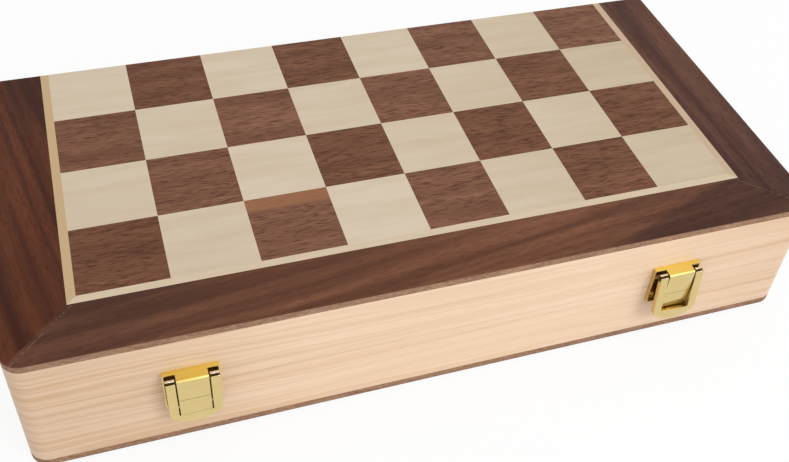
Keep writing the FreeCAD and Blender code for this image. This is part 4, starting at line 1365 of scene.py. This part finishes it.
class CHESSBOX_OT_latches(Operator):
    """Make the brass latches with rounded folds, and the nails that hold them"""

    bl_idname = "chessbox.latches"
    bl_label = "Latches"

    def execute(self, context):
        metal = context.scene.chess_set.brass
        hood, lever, folds = hood_brass(metal), lever_brass(metal), fold_brass(metal)
        plain = plain_brass("latch_brass", metal)
        nail = master_of("nail", turned([(x, z) for x, z, _ in cornered(NAIL)], 20))
        for side in SIDES:
            for part, body in (("plate", "upper_half"), ("catch", "lower_half")):
                piece = soften(f"{side}_latch_{part}", f"{side}_folded_{part}", body,
                               hood, ((FOLD_RADIUS, clear_of_seam),))
                if (side, part) == ("left", "catch"):
                    sharpen_ledge(piece)
                low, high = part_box(f"{side}_latch_{part}")
                level = (low.z + high.z) / 2
                start = Vector((low.x + NAIL_INSET, high.y - SHEET, level))
                step = Vector((high.x - low.x - 2 * NAIL_INSET, 0, 0))
                nails = set_row(f"{side}_{part}_nails", nail, plain, 2, start, step,
                                (math.pi / 2, 0, 0))
                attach(nails, body)
            piece = soften(f"{side}_latch_lever", f"{side}_folded_lever", f"{side}_latch_lever",
                           lever, ((FOLD_RADIUS, clear_of_eyes),))
            cut_away(piece, eye_cutter(side))
            if side == "left":
                close_bar(piece)
            edges = window_folds(side, folds)
            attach(edges, f"{side}_latch_lever")
            dress(f"{side}_latch_pin", lever)
        bpy.data.objects.remove(nail)
        return {"FINISHED"}


# outlines of radius and height in millimetres
NAIL = ((0.0, 0.0), (1.3, 0.0, "crisp"), (1.25, 0.3), (0.7, 0.6), (0.0, 0.6))
SINK = ((0.0, -1.3), (1.05, -1.3), (1.05, -0.9), (2.1, 0.0), (2.1, 0.4), (0.0, 0.4))
SCREW = ((0.0, -1.25), (0.98, -1.25), (0.98, -0.9), (1.98, -0.04), (0.0, -0.04))
FOLD_RADIUS = 0.15
NAIL_INSET = 3.1 * MM
SHEET = 0.7 * MM


class CHESSBOX_OT_hinges(Operator):
    """Make the hinges, with countersunk leaves and slotted screws"""

    bl_idname = "chessbox.hinges"
    bl_label = "Hinges"

    def execute(self, context):
        metal = plain_brass("hinge_brass", context.scene.chess_set.brass)
        sink, screw = master_of("sink", turned(SINK, 24)), master_of("screw", turned(SCREW, 24))
        slot = bmesh.new()
        bmesh.ops.create_cube(slot, size=1.0, matrix=Matrix.Diagonal((5 * MM, 0.5 * MM, MM, 1)))
        cut_away(screw, master_of("screw_slot", slot))
        for side in SIDES:
            dress(f"{side}_hinge_pin", metal)
            for half in HALVES:
                leaf = f"{side}_hinge_{half}_leaf"
                low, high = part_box(leaf)
                face, turn = (high.z, 0.0) if half == "lower" else (low.z, math.pi)
                start = Vector((low.x + SCREW_INSET, low.y + SCREW_MARGIN, face))
                step = Vector(((high.x - low.x) / 2 - SCREW_INSET, 0, 0))
                row = (3, start, step, (turn, 0, 0))
                piece = soften(leaf, f"{side}_{half}_sunk_leaf", f"{half}_half",
                               metal, ())
                cut_away(piece, set_row("sinks", sink, metal, *row))
                screws = set_row(f"{side}_{half}_hinge_screws", screw, metal, *row)
                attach(screws, f"{half}_half")
        bpy.data.objects.remove(sink)
        bpy.data.objects.remove(screw)
        return {"FINISHED"}


SCREW_INSET = 6.2 * MM
SCREW_MARGIN = 3.6 * MM


class CHESSBOX_OT_beds(Operator):
    """Make the flocked beds, with soft edges to their pockets"""

    bl_idname = "chessbox.beds"
    bl_label = "Flocked beds"

    def execute(self, context):
        flock = bed_finish(context.scene.chess_set.beds)
        for half in HALVES:
            low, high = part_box(f"{half}_foam_bed")
            rim = (high.z if half == "lower" else low.z) / MM
            bed = soften(
                f"{half}_foam_bed", f"{half}_flocked_bed", f"{half}_half", flock,
                (
                    (2.0, lambda first, second: abs(first.z - second.z) > 5),
                    (1.2, lambda first, second: abs(first.z - rim) + abs(second.z - rim) < 0.1),
                ),
            )
        return {"FINISHED"}


class CHESSBOX_OT_men(Operator):
    """Turn and carve the chessmen, lay them in their beds and felt their bases"""

    bl_idname = "chessbox.men"
    bl_label = "Chessmen"

    def execute(self, context):
        settings = context.scene.chess_set.chessmen
        felt = felt_finish(settings)
        finishes = {
            "light": man_finish("boxwood_men", settings.light, settings.light_grain),
            "dark": man_finish("walnut_men", settings.dark, settings.dark_grain),
        }
        for kind, (_, _, _, count) in RANKS.items():
            master = man_master(kind, settings.roundness)
            disc = master_of(f"{kind}_felt_disc", felt_disc(0.9 * MAN_SIZES[kind][0]))
            for half, tone in HALVES.items():
                start, step, turn = lying(kind, half)
                plural = kind + ("s" if count > 1 else "")
                men = set_row(f"{tone}_turned_{plural}", master, finishes[tone], count, start,
                              step, turn)
                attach(men, f"{half}_half")
                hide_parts(f"{tone}_{plural}")
                felts = set_row(f"{tone}_{kind}_felt", disc, felt, count, start, step, turn)
                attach(felts, f"{half}_half")
            bpy.data.objects.remove(master)
            bpy.data.objects.remove(disc)
        return {"FINISHED"}


class CHESSBOX_PT_panel(Panel):
    """Lists the chess set's pieces and settings"""

    bl_label = "Chess set"
    bl_space_type = "VIEW_3D"
    bl_region_type = "UI"
    bl_category = "Chess set"

    def draw(self, context):
        for operator in OPERATORS:
            self.layout.operator(operator.bl_idname)
        settings = context.scene.chess_set
        for name in ChessSetSettings.__annotations__:
            box = self.layout.box()
            group = getattr(settings, name)
            for setting in group.__annotations__:
                box.prop(group, setting)


OPERATORS = (
    CHESSBOX_OT_stage,
    CHESSBOX_OT_board,
    CHESSBOX_OT_border,
    CHESSBOX_OT_walls,
    CHESSBOX_OT_latches,
    CHESSBOX_OT_hinges,
    CHESSBOX_OT_beds,
    CHESSBOX_OT_men,
)
CLASSES = (*SETTINGS, ChessSetSettings, *OPERATORS, CHESSBOX_PT_panel)


def register():
    for kind in CLASSES:
        bpy.utils.register_class(kind)
    bpy.types.Scene.chess_set = PointerProperty(type=ChessSetSettings)


def unregister():
    del bpy.types.Scene.chess_set
    for kind in reversed(CLASSES):
        bpy.utils.unregister_class(kind)


def main():
    register()
    bpy.ops.chessbox.stage()
    bpy.ops.chessbox.board()
    bpy.ops.chessbox.border()
    bpy.ops.chessbox.walls()
    bpy.ops.chessbox.latches()
    bpy.ops.chessbox.hinges()
    bpy.ops.chessbox.beds()
    bpy.ops.chessbox.men()


if __name__ == "__main__":
    main()
